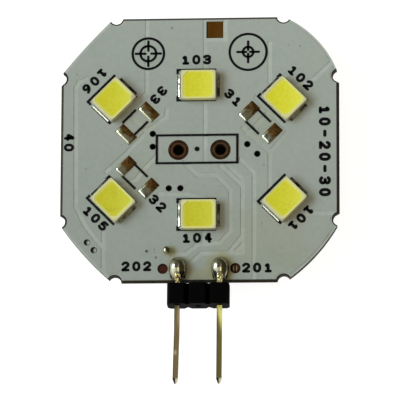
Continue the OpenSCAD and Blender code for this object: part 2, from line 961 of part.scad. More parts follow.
module pin_solder(x) {
    color("#b9bcbc")
        difference() {
            ring_solid([
                for (k = [0:blob_steps])
                    let (t = blob_share(k))
                        [
                            for (i = [0:blob_sides])
                                let (a = 180 * i / blob_sides)
                                    [
                                        x + blob_width(t) * cos(a),
                                        blob_start - blob_l * t,
                                        copper_t + blob_height(t) * pow(sin(a), 0.8)
                                    ]
                        ]
            ]);
            raised()
                translate([x - pin_w / 2, header_top_y, pin_z - pin_w / 2])
                    cube([pin_w, pin_tail, pin_w]);
        }
}

bead_at = [-3.06, -9.7];
bead_sink = 0.06;

module loose_solder_bead() {
    color("#b9bcbc")
        intersection() {
            translate([bead_at[0], bead_at[1], mask_top + bead_r - bead_sink])
                sphere(r = bead_r, $fn = 48);
            translate([bead_at[0] - bead_r, bead_at[1] - bead_r, mask_top])
                cube(2 * bead_r);
        }
}

// Parts on the back, each drawn with its foot at the origin and its top to +Z

module at_back(place) {
    translate([place[0], place[1], back_base])
        rotate([180, 0, place[2]])
            children();
}

// A moulded body with drafted ends and sides that meet at the parting line
module moulded_body(l, w, foot, top, draft) {
    mid = (foot + top) / 2;
    intersection() {
        rotate([90, 0, 0])
            linear_extrude(height = 2 * w, center = true)
                polygon([[-l / 2 + draft, foot], [l / 2 - draft, foot], [l / 2, mid],
                    [l / 2 - draft, top], [-l / 2 + draft, top], [-l / 2, mid]]);
        rotate([90, 0, 90])
            linear_extrude(height = 2 * l, center = true)
                polygon([[-w / 2 + draft, foot], [w / 2 - draft, foot], [w / 2, mid],
                    [w / 2 - draft, top], [-w / 2 + draft, top], [-w / 2, mid]]);
    }
}

diode_mid = (diode_lead_t + diode_h) / 2;
diode_draft = 0.15;

module diode_lead() {
    t = diode_lead_t;
    in = diode_l / 2 - 0.4;
    rotate([90, 0, 0])
        linear_extrude(height = diode_lead_w, center = true)
            polygon([
                [in, diode_mid + t / 2], [diode_half, diode_mid + t / 2],
                [diode_half, 0], [diode_half - diode_foot, 0],
                [diode_half - diode_foot, t], [diode_half - t, t],
                [diode_half - t, diode_mid - t / 2], [in, diode_mid - t / 2]
            ]);
}

module diode_leads() {
    color("#c2c2be") {
        diode_lead();
        mirror([1, 0, 0])
            diode_lead();
    }
}

module diode_body() {
    color("#1c1c1e")
        difference() {
            moulded_body(diode_l, diode_w, diode_lead_t, diode_h, diode_draft);
            for (end = [0, 1])
                mirror([end, 0, 0])
                    diode_lead();
        }
}

inductor_core_r = inductor_w * 0.4;
inductor_post_r = inductor_w * 0.19;
inductor_flange_t = 0.35;
inductor_rim_gap = 0.12;
inductor_foot_t = 0.15;
inductor_drop = 0.05;

module inductor_shield() {
    w = inductor_w;
    color("#3a3a3c")
        translate([0, 0, inductor_foot_t])
            linear_extrude(height = inductor_h - inductor_foot_t)
                difference() {
                    intersection() {
                        square(w, center = true);
                        rotate(45)
                            square(w * 1.27, center = true);
                    }
                    circle(r = inductor_core_r + inductor_rim_gap, $fn = 64);
                }
}

module inductor_core() {
    color("#47474a")
        translate([0, 0, inductor_foot_t]) {
            cylinder(r = inductor_core_r, h = inductor_flange_t, $fn = 64);
            cylinder(r = inductor_post_r, h = inductor_h - inductor_foot_t - inductor_drop, $fn = 64);
            translate([0, 0, inductor_h - inductor_foot_t - inductor_drop - inductor_flange_t])
                cylinder(r = inductor_core_r, h = inductor_flange_t, $fn = 64);
        }
}

module inductor_coil() {
    floor_z = inductor_foot_t + inductor_flange_t;
    coil_h = inductor_h - inductor_drop - inductor_flange_t - floor_z;
    color("#b06a38")
        difference() {
            translate([0, 0, floor_z])
                cylinder(r = inductor_core_r - 0.1, h = coil_h, $fn = 64);
            translate([0, 0, floor_z - over])
                cylinder(r = inductor_post_r, h = inductor_h + over, $fn = 64);
        }
}

module inductor_terminals() {
    color("#c2c2be")
        for (end = [0, 1])
            mirror([end, 0, 0])
                translate([inductor_w / 2 - inductor_foot, -inductor_w * 0.4, 0])
                    cube([inductor_foot, inductor_w * 0.8, inductor_foot_t]);
}

chip_foot_t = 0.13;
chip_body_z = 0.1;
chip_knee_z = 0.52;

module chip_lead() {
    t = chip_foot_t;
    in = chip_w / 2 - 0.2;
    knee = chip_w / 2 + 0.12;
    rotate([90, 0, 90])
        linear_extrude(height = chip_lead_w, center = true)
            polygon([
                [chip_span, 0], [chip_span, t], [chip_span - chip_foot + t, t], [knee + t, chip_knee_z + t],
                [in, chip_knee_z + t], [in, chip_knee_z], [knee, chip_knee_z], [chip_span - chip_foot, 0]
            ]);
}

module chip_lead_row() {
    for (x = [-chip_pitch, 0, chip_pitch], side = [0, 1])
        translate([x, 0, 0])
            mirror([0, side, 0])
                chip_lead();
}

module driver_chip_leads() {
    color("#c2c2be")
        at_back(chip_place)
            chip_lead_row();
}

module driver_chip_body() {
    color("#1c1c1e")
        at_back(chip_place)
            difference() {
                moulded_body(chip_l, chip_w, chip_body_z, chip_h, 0.1);
                chip_lead_row();
                // Dimple that marks the first lead
                translate([-chip_l / 2 + 0.55, chip_w / 2 - 0.45, chip_h - 0.05])
                    cylinder(r = 0.15, h = over, $fn = 32);
            }
}

// Ceramic block between two metal end caps

module ceramic_body(l, w, h) {
    translate([-l / 2 + end_cap_t, -w / 2 + end_cap_t, end_cap_t])
        cube([l - 2 * end_cap_t, w - 2 * end_cap_t, h - 2 * end_cap_t]);
}

module end_caps(l, w, h) {
    difference() {
        for (end = [0, 1])
            mirror([end, 0, 0])
                translate([l / 2 - end_cap_l, -w / 2, 0])
                    cube([end_cap_l, w, h]);
        ceramic_body(l, w, h);
    }
}

module input_capacitor_body() {
    color("#8c7448")
        at_back(capacitor_places[0])
            ceramic_body(capacitor_l, capacitor_w, capacitor_h);
}

module output_capacitor_body() {
    color("#8c7448")
        at_back(capacitor_places[1])
            ceramic_body(capacitor_l, capacitor_w, capacitor_h);
}

module capacitor_end_caps() {
    color("#c2c2be")
        for (p = capacitor_places)
            at_back(p)
                end_caps(capacitor_l, capacitor_w, capacitor_h);
}

module chip_resistor_bodies() {
    color("#26282c")
        for (p = chip_resistor_places)
            at_back(p)
                ceramic_body(resistor_l, resistor_w, resistor_h);
}

module chip_resistor_end_caps() {
    color("#c2c2be")
        for (p = chip_resistor_places)
            at_back(p)
                end_caps(resistor_l, resistor_w, resistor_h);
}

// A joint at each end of a part
module joint_pair(half, foot, out, rise, w) {
    for (end = [0, 1])
        mirror([end, 0, 0])
            translate([half, 0, 0])
                solder_joint(foot, out, rise, w);
}

module back_solder_joints() {
    color("#b9bcbc") {
        for (p = concat(bridge_places, [freewheel_place]))
            at_back(p)
                joint_pair(diode_half, diode_foot, diode_fillet, diode_h * 0.3, diode_lead_w);
        at_back(inductor_place)
            joint_pair(inductor_w / 2, inductor_foot, inductor_fillet, inductor_foot_t, inductor_w * 0.8);
        for (p = capacitor_places)
            at_back(p)
                joint_pair(capacitor_l / 2, end_cap_l, capacitor_fillet, capacitor_h * 0.6, capacitor_w);
        for (p = chip_resistor_places)
            at_back(p)
                joint_pair(resistor_l / 2, end_cap_l, resistor_fillet, resistor_h * 0.7, resistor_w);
        at_back(chip_place)
            for (x = [-chip_pitch, 0, chip_pitch])
                translate([x, 0, 0])
                    rotate(90)
                        joint_pair(chip_span, chip_foot, chip_fillet, chip_foot_t, chip_lead_w);
    }
}

circuit_board();
front_copper();
back_copper();
via_plating();
front_solder_mask();
back_solder_mask();
front_legend();
at_led(1) led_housing();  // led_1_housing
at_led(2) led_housing();  // led_2_housing
at_led(3) led_housing();  // led_3_housing
at_led(4) led_housing();  // led_4_housing
at_led(5) led_housing();  // led_5_housing
at_led(6) led_housing();  // led_6_housing
at_led(1) led_phosphor();  // led_1_phosphor
at_led(2) led_phosphor();  // led_2_phosphor
at_led(3) led_phosphor();  // led_3_phosphor
at_led(4) led_phosphor();  // led_4_phosphor
at_led(5) led_phosphor();  // led_5_phosphor
at_led(6) led_phosphor();  // led_6_phosphor
at_led(1) led_terminals();  // led_1_terminals
at_led(2) led_terminals();  // led_2_terminals
at_led(3) led_terminals();  // led_3_terminals
at_led(4) led_terminals();  // led_4_terminals
at_led(5) led_terminals();  // led_5_terminals
at_led(6) led_terminals();  // led_6_terminals
led_dies();
led_solder_joints();
resistor_pad_solder();
header_housing();
pin(-pin_x, left_pin_straight, -left_pin_lean);  // pin_left
pin(pin_x, left_pin_straight, 0);  // pin_right
pin_solder(-pin_x);  // pin_left_solder
pin_solder(pin_x);  // pin_right_solder
loose_solder_bead();
at_back(bridge_places[0]) diode_body();  // bridge_diode_1_body
at_back(bridge_places[1]) diode_body();  // bridge_diode_2_body
at_back(bridge_places[2]) diode_body();  // bridge_diode_3_body
at_back(bridge_places[3]) diode_body();  // bridge_diode_4_body
at_back(bridge_places[0]) diode_leads();  // bridge_diode_1_leads
at_back(bridge_places[1]) diode_leads();  // bridge_diode_2_leads
at_back(bridge_places[2]) diode_leads();  // bridge_diode_3_leads
at_back(bridge_places[3]) diode_leads();  // bridge_diode_4_leads
at_back(freewheel_place) diode_body();  // freewheel_diode_body
at_back(freewheel_place) diode_leads();  // freewheel_diode_leads
at_back(inductor_place) inductor_shield();
at_back(inductor_place) inductor_core();
at_back(inductor_place) inductor_coil();
at_back(inductor_place) inductor_terminals();
driver_chip_body();
driver_chip_leads();
input_capacitor_body();
output_capacitor_body();
capacitor_end_caps();
chip_resistor_bodies();
chip_resistor_end_caps();
back_solder_joints();
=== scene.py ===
"""Looks of the LED module: lacquer, ink, solder, gilding and a white studio round the CAD part."""

import math

import bmesh
import bpy
from bpy.props import FloatProperty, FloatVectorProperty, PointerProperty
from mathutils import Matrix, Vector, noise


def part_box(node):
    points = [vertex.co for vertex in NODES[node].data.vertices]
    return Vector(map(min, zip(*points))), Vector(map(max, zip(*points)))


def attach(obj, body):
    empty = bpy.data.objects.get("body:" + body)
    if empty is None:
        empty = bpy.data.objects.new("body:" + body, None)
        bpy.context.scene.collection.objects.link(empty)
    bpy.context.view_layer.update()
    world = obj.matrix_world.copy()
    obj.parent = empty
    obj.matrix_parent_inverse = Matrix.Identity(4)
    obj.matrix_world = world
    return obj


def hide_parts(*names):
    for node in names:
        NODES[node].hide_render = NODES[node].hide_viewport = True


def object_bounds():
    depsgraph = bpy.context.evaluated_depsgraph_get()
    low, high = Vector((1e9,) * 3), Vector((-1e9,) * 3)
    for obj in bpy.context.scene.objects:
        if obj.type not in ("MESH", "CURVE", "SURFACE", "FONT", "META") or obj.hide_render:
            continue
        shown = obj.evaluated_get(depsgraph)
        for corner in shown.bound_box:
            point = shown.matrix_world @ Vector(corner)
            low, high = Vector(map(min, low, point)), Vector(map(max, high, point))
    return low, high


bl_info = {
    "name": "LED Module Looks",
    "version": (1, 0, 0),
    "blender": (4, 5, 0),
    "location": "View3D > Sidebar > LED Module",
    "description": "Finishes, printed numbers, solder and studio for a packed LED module",
    "category": "Object",
}

MM = 0.001
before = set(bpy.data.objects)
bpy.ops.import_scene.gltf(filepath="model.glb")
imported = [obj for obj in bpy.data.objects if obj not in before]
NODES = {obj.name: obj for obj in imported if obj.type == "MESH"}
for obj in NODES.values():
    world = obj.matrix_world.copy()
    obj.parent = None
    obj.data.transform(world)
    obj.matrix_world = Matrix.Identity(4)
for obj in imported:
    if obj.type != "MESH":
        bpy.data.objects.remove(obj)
CAD_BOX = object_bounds()

MASK_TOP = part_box("front_solder_mask")[1].z
FLOOR_Z = CAD_BOX[0].z

# Places and sizes below are in mm and turns in degrees, unless a line says otherwise

# Middle and turn of each LED, as in the CAD source
LED_PLACES = (
    (8.1, -4.92, 45),
    (8.1, 4.84, -45),
    (-0.1, 6.23, 180),
    (-0.05, -6.33, 180),
    (-8.15, -4.87, -45),
    (-8.16, 4.92, 45),
)
# An LED's window: length, width and corner radius
LED_WINDOW = (2.9, 2.6)
WINDOW_CORNER = 0.45
# How bright each LED's phosphor is, next to the first one's
PHOSPHOR_TONES = (1.0, 1.1, 1.03, 0.88, 0.88, 0.96)
# Darker marks in the phosphor: middle, half sizes and strength
PHOSPHOR_MARKS = (
    (8.97, 5.92, 0.1, 0.1, 0.6),
    (-8.45, -5.85, 0.6, 0.2, 0.2),
    (-8.0, -4.2, 0.2, 0.6, 0.12),
)
# Corner of the sixth LED whose housing lies in shade, painted brown
SHADED_CORNER = (-5.98, 5.0)
# Joints whose solder is whole: middle, reach and how whole
WHOLE_JOINTS = ((-9.43, 3.65, 1.1, 1.0), (6.83, -6.19, 1.1, 1.0), (9.45, 3.95, 0.7, 0.8))

# Half size of the board, how far its middle lies up the y axis, and the height of its middle
BOARD_HALF = (13.275, 12.85)
BOARD_UP = 0.12
BOARD_MIDDLE_Z = -0.5
# Middles of the notches, and how far the darker rim reaches round them and in from the edges
NOTCHES = ((8.0, 12.85), (13.31, 6.95))
NOTCH_REACH = 0.75
DARK_EDGE_REACH = 0.26
# Heights from the board's middle between which lacquer counts as sunk, and where its steps start and end
SUNK_LACQUER = (0.556, 0.536)
STEP_TOP = (0.5655, 0.562)
STEP_FOOT = (0.529, 0.533)
# Where the sunk lacquer hardly shows: middle and half sizes
FAINT_GAPS = (6.6, 1.9, 3.4, 3.2)
# Flux left on the lacquer: middle, half sizes and strength
FLUX_STAINS = (
    (-1.95, -11.4, 1.15, 1.25, 0.35),
    (1.95, -11.3, 1.25, 1.4, 0.7),
    (2.7, -11.9, 0.6, 0.8, 0.6),
    (0.0, -12.3, 1.7, 0.8, 0.42),
    (-2.7, -9.8, 0.7, 0.6, 0.6),
    (5.8, 2.6, 1.9, 1.9, 0.12),
    (-5.9, 2.7, 1.9, 1.9, 0.12),
    (-5.9, -2.6, 1.9, 1.9, 0.12),
    (6.5, -8.5, 4.5, 3.5, 0.14),
)
# Brown flux round the pins' roots, given in the same way
ROOT_STAINS = ((-2.0, -12.45, 0.62, 0.5, 0.85), (2.0, -12.45, 0.62, 0.5, 0.85))
# Dirt in the lacquer: middle, radius and strength
SPECKS = (
    (-4.97, -9.75, 0.13, 0.95),
    (-4.25, -9.62, 0.09, 0.4),
    (-4.2, -9.88, 0.08, 0.3),
    (-4.08, -10.35, 0.12, 0.6),
    (-10.82, -1.75, 0.09, 0.3),
    (6.13, -1.57, 0.1, 0.3),
    (5.93, -7.2, 0.09, 0.3),
    (7.84, -9.56, 0.09, 0.3),
    (1.95, -3.56, 0.09, 0.25),
    (-2.68, 11.93, 0.12, 0.4),
    (8.53, 10.12, 0.09, 0.25),
    (9.58, 10.01, 0.1, 0.3),
    (-11.76, 7.49, 0.1, 0.3),
    (-7.39, 0.55, 0.08, 0.25),
)

# Empty resistor places: middle and turn, distance between their two pads, and length and width of a pad
PLACE_CENTRES = ((5.8, 2.6, -45), (-5.92, -2.6, -45), (-5.92, 2.66, 45))
PLACE_PITCH = 3.06
PAD_SIZE = (1.1, 1.9)
# Height of a pad's solder as a share of the CAD's, which leaves room for its ripples
DOME_SHARE = 0.8
# How far each ring of a pad's solder lies inside the pad
PAD_INSETS = (0.0, 0.01, 0.03, 0.06, 0.10, 0.15, 0.20, 0.26, 0.33, 0.40, 0.47, 0.53)
# Other bare copper: the right test pad with its two scratches, and the square by the top edge
TEST_PAD = (3.44, -11.45)
SCRATCHES_X = (3.275, 3.555)
BARE_SQUARE = (1.43, 11.71)
# Small holes near the lower left corner, filled with resin, and the radius of the filling
FILLED_HOLES = ((-10.65, -8.85), (-10.0, -9.6))
FILLED_RADIUS = 0.246
# Rings of a filling: share of its radius, and height
PLUG_RINGS = (
    (0.9, -0.5), (1.0, -0.45), (1.0, -0.05), (0.9, -0.075), (0.7, -0.1), (0.4, -0.12), (0.1, -0.125),
)

# How far the large holes and the pins lie from the middle line
HOLE_X = 2.0
PIN_X = 2.0
# Along y: middle of the solder on the pins, where it thins out, and where the painted glints of its last
# specks lie on them
BLOB_Y = -11.45
BLOB_ROOT = (-11.95, -12.15)
PIN_ROOT = (-13.05, -12.9)
# Painted golden highlight on the solder: how far right of the pin's line, place along y, and half sizes
BLOB_HIGHLIGHT = (0.16, -11.72, 0.13, 0.5)
# Middle of the painted shade on the foil round the solder, along y
ROOT_SHADE_Y = -12.2
# Height of a pin's tail, and the slope that pins and header share
PIN_TAIL_Z = 0.585
HEADER_SLOPE = 5
# The left pin's bend and tip, and where the cut faces of both tips start
LEFT_BEND_Y = -17.7
LEFT_TIP = (-2.088, -22.62)
CUT_TIPS = (-22.05, -22.2)
# Painted highlights on the left pin: middle, half sizes, softness and strength
LEFT_PIN_HIGHLIGHTS = ((-1.87, -15.9, 0.07, 1.2, 0.5, 0.6), (-2.1, -19.65, 0.12, 0.22, 0.6, 0.8))
# The right pin's painted highlight, along y: where it narrows, and where it grows out of the plain gold
SHINE_NARROWS = (-15.2, -18.2)
SHINE_GROWS = (-18.6, -15.9)
# The pale band on a diode: how far its edges lie from the end of the body
BAND_EDGES = (1.15, 0.5)
# The dimple that marks the driver chip's first pin, from the corner of its body
DIMPLE_INSET = 0.4

# Strokes of the printed figures, on a cell 1 wide and 1.4 high
FIGURES = {
    "0": [
        [
            (0.32, 0), (0.68, 0), (1, 0.32), (1, 1.08), (0.68, 1.4),
            (0.32, 1.4), (0, 1.08), (0, 0.32), (0.32, 0),
        ],
    ],
    "1": [[(0.15, 1.08), (0.55, 1.4), (0.55, 0)], [(0.15, 0), (0.95, 0)]],
    "2": [[(0, 1.1), (0.25, 1.4), (0.75, 1.4), (1, 1.12), (1, 0.86), (0, 0)], [(0, 0), (1, 0)]],
    "3": [
        [(0, 1.22), (0.25, 1.4), (0.75, 1.4), (1, 1.18), (1, 0.94), (0.72, 0.73), (0.35, 0.73)],
        [(0.72, 0.73), (1, 0.5), (1, 0.24), (0.75, 0), (0.25, 0), (0, 0.18)],
    ],
    "4": [[(0.76, 0), (0.76, 1.4)], [(0.6, 1.4), (0, 0.44), (1, 0.44)]],
    "5": [
        [(0.95, 1.4), (0.12, 1.4), (0.06, 0.78)],
        [(0.06, 0.78), (0.7, 0.86), (1, 0.6), (1, 0.26), (0.7, 0), (0.25, 0), (0, 0.18)],
    ],
    "6": [
        [
            (0.85, 1.4), (0.4, 1.22), (0.04, 0.74), (0, 0.3), (0.3, 0), (0.7, 0),
            (1, 0.3), (1, 0.52), (0.7, 0.8), (0.3, 0.8), (0.03, 0.5),
        ],
    ],
    "-": [[(0.08, 0.7), (0.92, 0.7)]],
}

# Plain numbers: text, middle and turn of the line of print
NUMBERS = (
    ("101", 9.65, -6.71, -135),
    ("102", 9.63, 6.91, -45),
    ("103", -0.33, 8.79, 0),
    ("104", -0.2, -8.51, 0),
    ("105", -9.85, -6.53, -45),
    ("106", -10.05, 6.81, -135),
    ("31", 3.2, 5.05, -45),
    ("32", -3.96, -5.14, -45),
    ("33", -3.92, 5.37, -130),
    ("201", 5.49, -11.41, 0),
    ("202", -5.94, -11.19, 0),
    ("40", -12.46, 0.87, -90),
)
# The line of larger figures along the right edge
SIDE_NUMBER = ("10-20-30", 11.91, -0.24, -90)
# Its figures' width and stroke, as shares of the others'
SIDE_WIDTH = 1.03
SIDE_STROKE = 1.15
# Target marks: the setting that holds the radius, middle, and the inner ring's share of the radius;
# and the width of their lines, as a share of a figure's stroke
TARGETS = (("left_target", -4.93, 9.44, 0.5), ("right_target", 4.62, 9.49, 0.28))
TARGET_STROKE = 0.88

# Directions that the world's bright side and its ceiling lie in, where the ceiling's edge starts and ends,
# and the colours between the dim and the bright side
BRIGHT_SIDE_AXIS = (-0.85, -0.25, 0.45)
CEILING_AXIS = (-0.07, 0.207, 0.976)
CEILING_EDGE = (0.64, 0.82)
SIDE_STOPS = (
    (0.40, (0.045, 0.040, 0.020)),
    (0.68, (0.13, 0.125, 0.085)),
    (0.85, (0.32, 0.32, 0.27)),
    (0.94, (0.70, 0.72, 0.67)),
)
# Size and place of the window light, in metres
WINDOW_SIZE = (0.9, 0.42)
WINDOW_PLACE = (-0.82, 0.08, 0.62)
# The floor lies a hair below the part
FLOOR_GAP = 0.002
# Under the board it has a dark eight-sided patch of painted shade: its middle, where its edge starts and
# ends, and the weight that cuts its corners
PATCH_MIDDLE_Y = 0.35
PATCH_EDGE = (7.5, 12.5)
PATCH_CORNERS = 0.63
# Metal mirrors the floor's glow out to here
MIRRORED_REACH = (60, 35)


class BoardLook(bpy.types.PropertyGroup):
    """Colours of the circuit board"""

    lacquer: FloatVectorProperty(
        name="Lacquer", description="Solder mask over copper",
        subtype="COLOR", size=3, default=(0.300, 0.343, 0.300),
    )
    lacquer_gap: FloatVectorProperty(
        name="Lacquer over gaps", description="Solder mask over bare laminate",
        subtype="COLOR", size=3, default=(0.370, 0.415, 0.366),
    )
    # Painted light: paler lacquer on the steps' walls lifts the shade they fall in
    lacquer_wall_painted_light: FloatVectorProperty(
        name="Lacquer at steps", description="Solder mask where it steps down into a gap",
        subtype="COLOR", size=3, default=(0.48, 0.52, 0.46),
    )
    laminate: FloatVectorProperty(
        name="Laminate", description="Raw glass-fibre edge",
        subtype="COLOR", size=3, default=(0.012, 0.009, 0.004),
    )
    foil: FloatVectorProperty(
        name="Foil", description="Tarnished bare copper",
        subtype="COLOR", size=3, default=(0.066, 0.028, 0.008),
    )
    bronze: FloatVectorProperty(
        name="Bronze", description="Bare square by the top edge",
        subtype="COLOR", size=3, default=(0.15, 0.062, 0.0015),
    )
    flux: FloatVectorProperty(
        name="Flux", description="Stain of flux on the lacquer",
        subtype="COLOR", size=3, default=(0.275, 0.262, 0.082),
    )
    ink_spread: FloatProperty(
        name="Ink spread", description="How far the printed lines run", default=0.03 * MM, unit="LENGTH"
    )
    ink: FloatVectorProperty(
        name="Ink", description="Printed legend", subtype="COLOR", size=3, default=(0.002, 0.002, 0.002)
    )


class PrintLook(bpy.types.PropertyGroup):
    """Sizes of the printed numbers and target marks"""

    stroke: FloatProperty(
        name="Stroke", description="Width of a printed line", default=0.262 * MM, unit="LENGTH"
    )
    height: FloatProperty(name="Height", description="Height of a figure", default=0.96 * MM, unit="LENGTH")
    width: FloatProperty(name="Width", description="Width of a figure", default=0.77 * MM, unit="LENGTH")
    pitch: FloatProperty(
        name="Pitch", description="Distance between figures", default=1.03 * MM, unit="LENGTH"
    )
    side_height: FloatProperty(
        name="Side height", description="Height of a figure in the line along the right edge",
        default=1.13 * MM, unit="LENGTH",
    )
    side_pitch: FloatProperty(
        name="Side pitch", description="Distance between those figures", default=1.14 * MM, unit="LENGTH"
    )
    ink_depth: FloatProperty(
        name="Ink depth", description="Thickness of the ink", default=0.015 * MM, unit="LENGTH"
    )
    left_target: FloatProperty(
        name="Left target", description="Radius of the left target mark", default=1.5 * MM, unit="LENGTH"
    )
    right_target: FloatProperty(
        name="Right target", description="Radius of the right target mark", default=1.76 * MM, unit="LENGTH"
    )


class LedLook(bpy.types.PropertyGroup):
    """Colours of the LEDs"""

    housing: FloatVectorProperty(
        name="Housing", description="White moulded housing",
        subtype="COLOR", size=3, default=(0.50, 0.495, 0.33),
    )
    phosphor: FloatVectorProperty(
        name="Phosphor", description="Middle of the window",
        subtype="COLOR", size=3, default=(0.57, 0.555, 0.014),
    )
    phosphor_rim: FloatVectorProperty(
        name="Phosphor rim", description="Edge of the window",
        subtype="COLOR", size=3, default=(0.68, 0.69, 0.24),
    )


class MetalLook(bpy.types.PropertyGroup):
    """Colours of solder, tin and gilding"""

    solder: FloatVectorProperty(
        name="Solder", description="Reflowed solder", subtype="COLOR", size=3, default=(0.64, 0.65, 0.51)
    )
    blob: FloatVectorProperty(
        name="Blob", description="Solder on the pins, under flux",
        subtype="COLOR", size=3, default=(0.54, 0.53, 0.385),
    )
    tin: FloatVectorProperty(
        name="Tin", description="Tinned leads", subtype="COLOR", size=3, default=(0.60, 0.59, 0.56)
    )
    gilt: FloatVectorProperty(
        name="Gilding", description="Flash gold on the pins",
        subtype="COLOR", size=3, default=(0.195, 0.165, 0.042),
    )
    gilt_left: FloatVectorProperty(
        name="Left gilding", description="The left pin's browner gold",
        subtype="COLOR", size=3, default=(0.27, 0.20, 0.088),
    )
    # Painted highlight: the bright gold that stands in for the right pin's reflection
    shine: FloatVectorProperty(
        name="Shine", description="Brightly burnished gold",
        subtype="COLOR", size=3, default=(0.88, 0.82, 0.24),
    )
    # Also a painted reflection of the dim brown side, on the pads' top right
    thin_tin: FloatVectorProperty(
        name="Thin tin", description="Solder so thin that copper shows",
        subtype="COLOR", size=3, default=(0.20, 0.102, 0.022),
    )


class StudioLook(bpy.types.PropertyGroup):
    """Camera and light"""

    distance: FloatProperty(name="Distance", description="Camera to board", default=0.35, unit="LENGTH")
    tilt: FloatProperty(
        name="Tilt", description="Camera's lean towards the pins", default=math.radians(12), subtype="ANGLE"
    )
    turn: FloatProperty(
        name="Turn", description="Camera's lean to the right", default=math.radians(4), subtype="ANGLE"
    )
    roll: FloatProperty(
        name="Roll", description="Camera's roll", default=math.radians(0.209), subtype="ANGLE"
    )
    aim_x: FloatProperty(
        name="Aim X", description="Point that the camera looks at", default=0.069 * MM, unit="LENGTH"
    )
    aim_y: FloatProperty(
        name="Aim Y", description="Point that the camera looks at", default=-4.85 * MM, unit="LENGTH"
    )
    lens: FloatProperty(name="Lens", description="Focal length in millimetres", default=331.6, unit="CAMERA")
    key_power: FloatProperty(
        name="Key power", description="Power of the window light", default=11.9, unit="POWER"
    )
    key_colour: FloatVectorProperty(
        name="Key colour", description="Colour of the window light",
        subtype="COLOR", size=3, default=(0.745, 0.855, 1.0),
    )
    sky_strength: FloatProperty(name="Sky strength", description="Strength of the world light", default=1.0)
    bright_side: FloatVectorProperty(
        name="Bright side", description="World light from the left",
        subtype="COLOR", size=3, default=(1.3, 1.34, 1.32),
    )
    dim_side: FloatVectorProperty(
        name="Dim side", description="World light from the right",
        subtype="COLOR", size=3, default=(0.030, 0.020, 0.008),
    )
    ceiling: FloatVectorProperty(
        name="Ceiling", description="World light from straight above",
        subtype="COLOR", size=3, default=(0.085, 0.085, 0.065),
    )
    fill: FloatVectorProperty(
        name="Fill", description="Even light from all sides",
        subtype="COLOR", size=3, default=(0.52, 0.445, 0.335),
    )
    floor_glow: FloatProperty(
        name="Floor glow", description="White that the floor shows the camera", default=0.9
    )


class Tree:
    """A node tree, with short ways to add and join its nodes."""

    def __init__(self, owner, output):
        owner.use_nodes = True
        self.tree = owner.node_tree
        self.tree.nodes.clear()
        self.out = self.add(output)

    def join(self, source, target):
        self.tree.links.new(source, target)

    def feed(self, socket, value):
        """Joins a socket to the input, or sets a plain value on it; colours may leave out their alpha."""
        if isinstance(value, bpy.types.NodeSocket):
            self.join(value, socket)
        elif hasattr(value, "__len__"):
            socket.default_value = (*value, 1.0)[:len(socket.default_value)]
        else:
            socket.default_value = value

    def add(self, kind, inputs=None, **settings):
        node = self.tree.nodes.new("ShaderNode" + kind)
        for key, value in settings.items():
            setattr(node, key, value)
        for key, value in (inputs or {}).items():
            self.feed(node.inputs[key], value)
        return node

    def math(self, operation, a, b=0.0, clamp=False):
        return self.add("Math", {0: a, 1: b}, operation=operation, use_clamp=clamp).outputs[0]

    def times(self, first, *others, clamp=False):
        """The product of two or more values."""
        for other in others:
            first = self.math("MULTIPLY", first, other, clamp)
        return first

    def most(self, first, *others):
        """The largest of two or more values."""
        for other in others:
            first = self.math("MAXIMUM", first, other)
        return first

    def away(self, value, middle=0.0):
        """How far a value lies from a middle."""
        return self.math("ABSOLUTE", self.math("SUBTRACT", value, middle))

    def vector(self, operation, a, b=(0, 0, 0)):
        """A vector, or the number that a dot product or a length gives."""
        node = self.add("VectorMath", {0: a, 1: b}, operation=operation)
        return node.outputs["Value" if operation in ("DOT_PRODUCT", "LENGTH") else 0]

    def spread(self, value, low, high, out_low=0.0, out_high=1.0, smooth=True):
        """Maps low..high to out_low..out_high."""
        node = self.add(
            "MapRange",
            {"Value": value, "From Min": low, "From Max": high, "To Min": out_low, "To Max": out_high},
            interpolation_type="SMOOTHSTEP" if smooth else "LINEAR",
        )
        return node.outputs["Result"]

    def ramp(self, value, low, high, out_low=0.0, out_high=1.0, smooth=True):
        """As spread, between two lengths in mm."""
        return self.spread(value, low * MM, high * MM, out_low, out_high, smooth)

    def mix(self, share, a, b):
        """Two colours mixed by a share; the node takes colours at sockets 6 and 7 and gives one at 2."""
        return self.add("Mix", {"Factor": share, 6: a, 7: b}, data_type="RGBA").outputs[2]

    def lay(self, base, tint, *shares, clamp=False):
        """A tint laid over a base colour, by the product of the shares."""
        return self.mix(self.times(*shares, clamp=clamp), base, tint)

    def show(self, share, first, second):
        """Ends the tree in a mix of two shaders."""
        both = self.add("MixShader", {0: share, 1: first.outputs[0], 2: second.outputs[0]})
        self.join(both.outputs[0], self.out.inputs["Surface"])


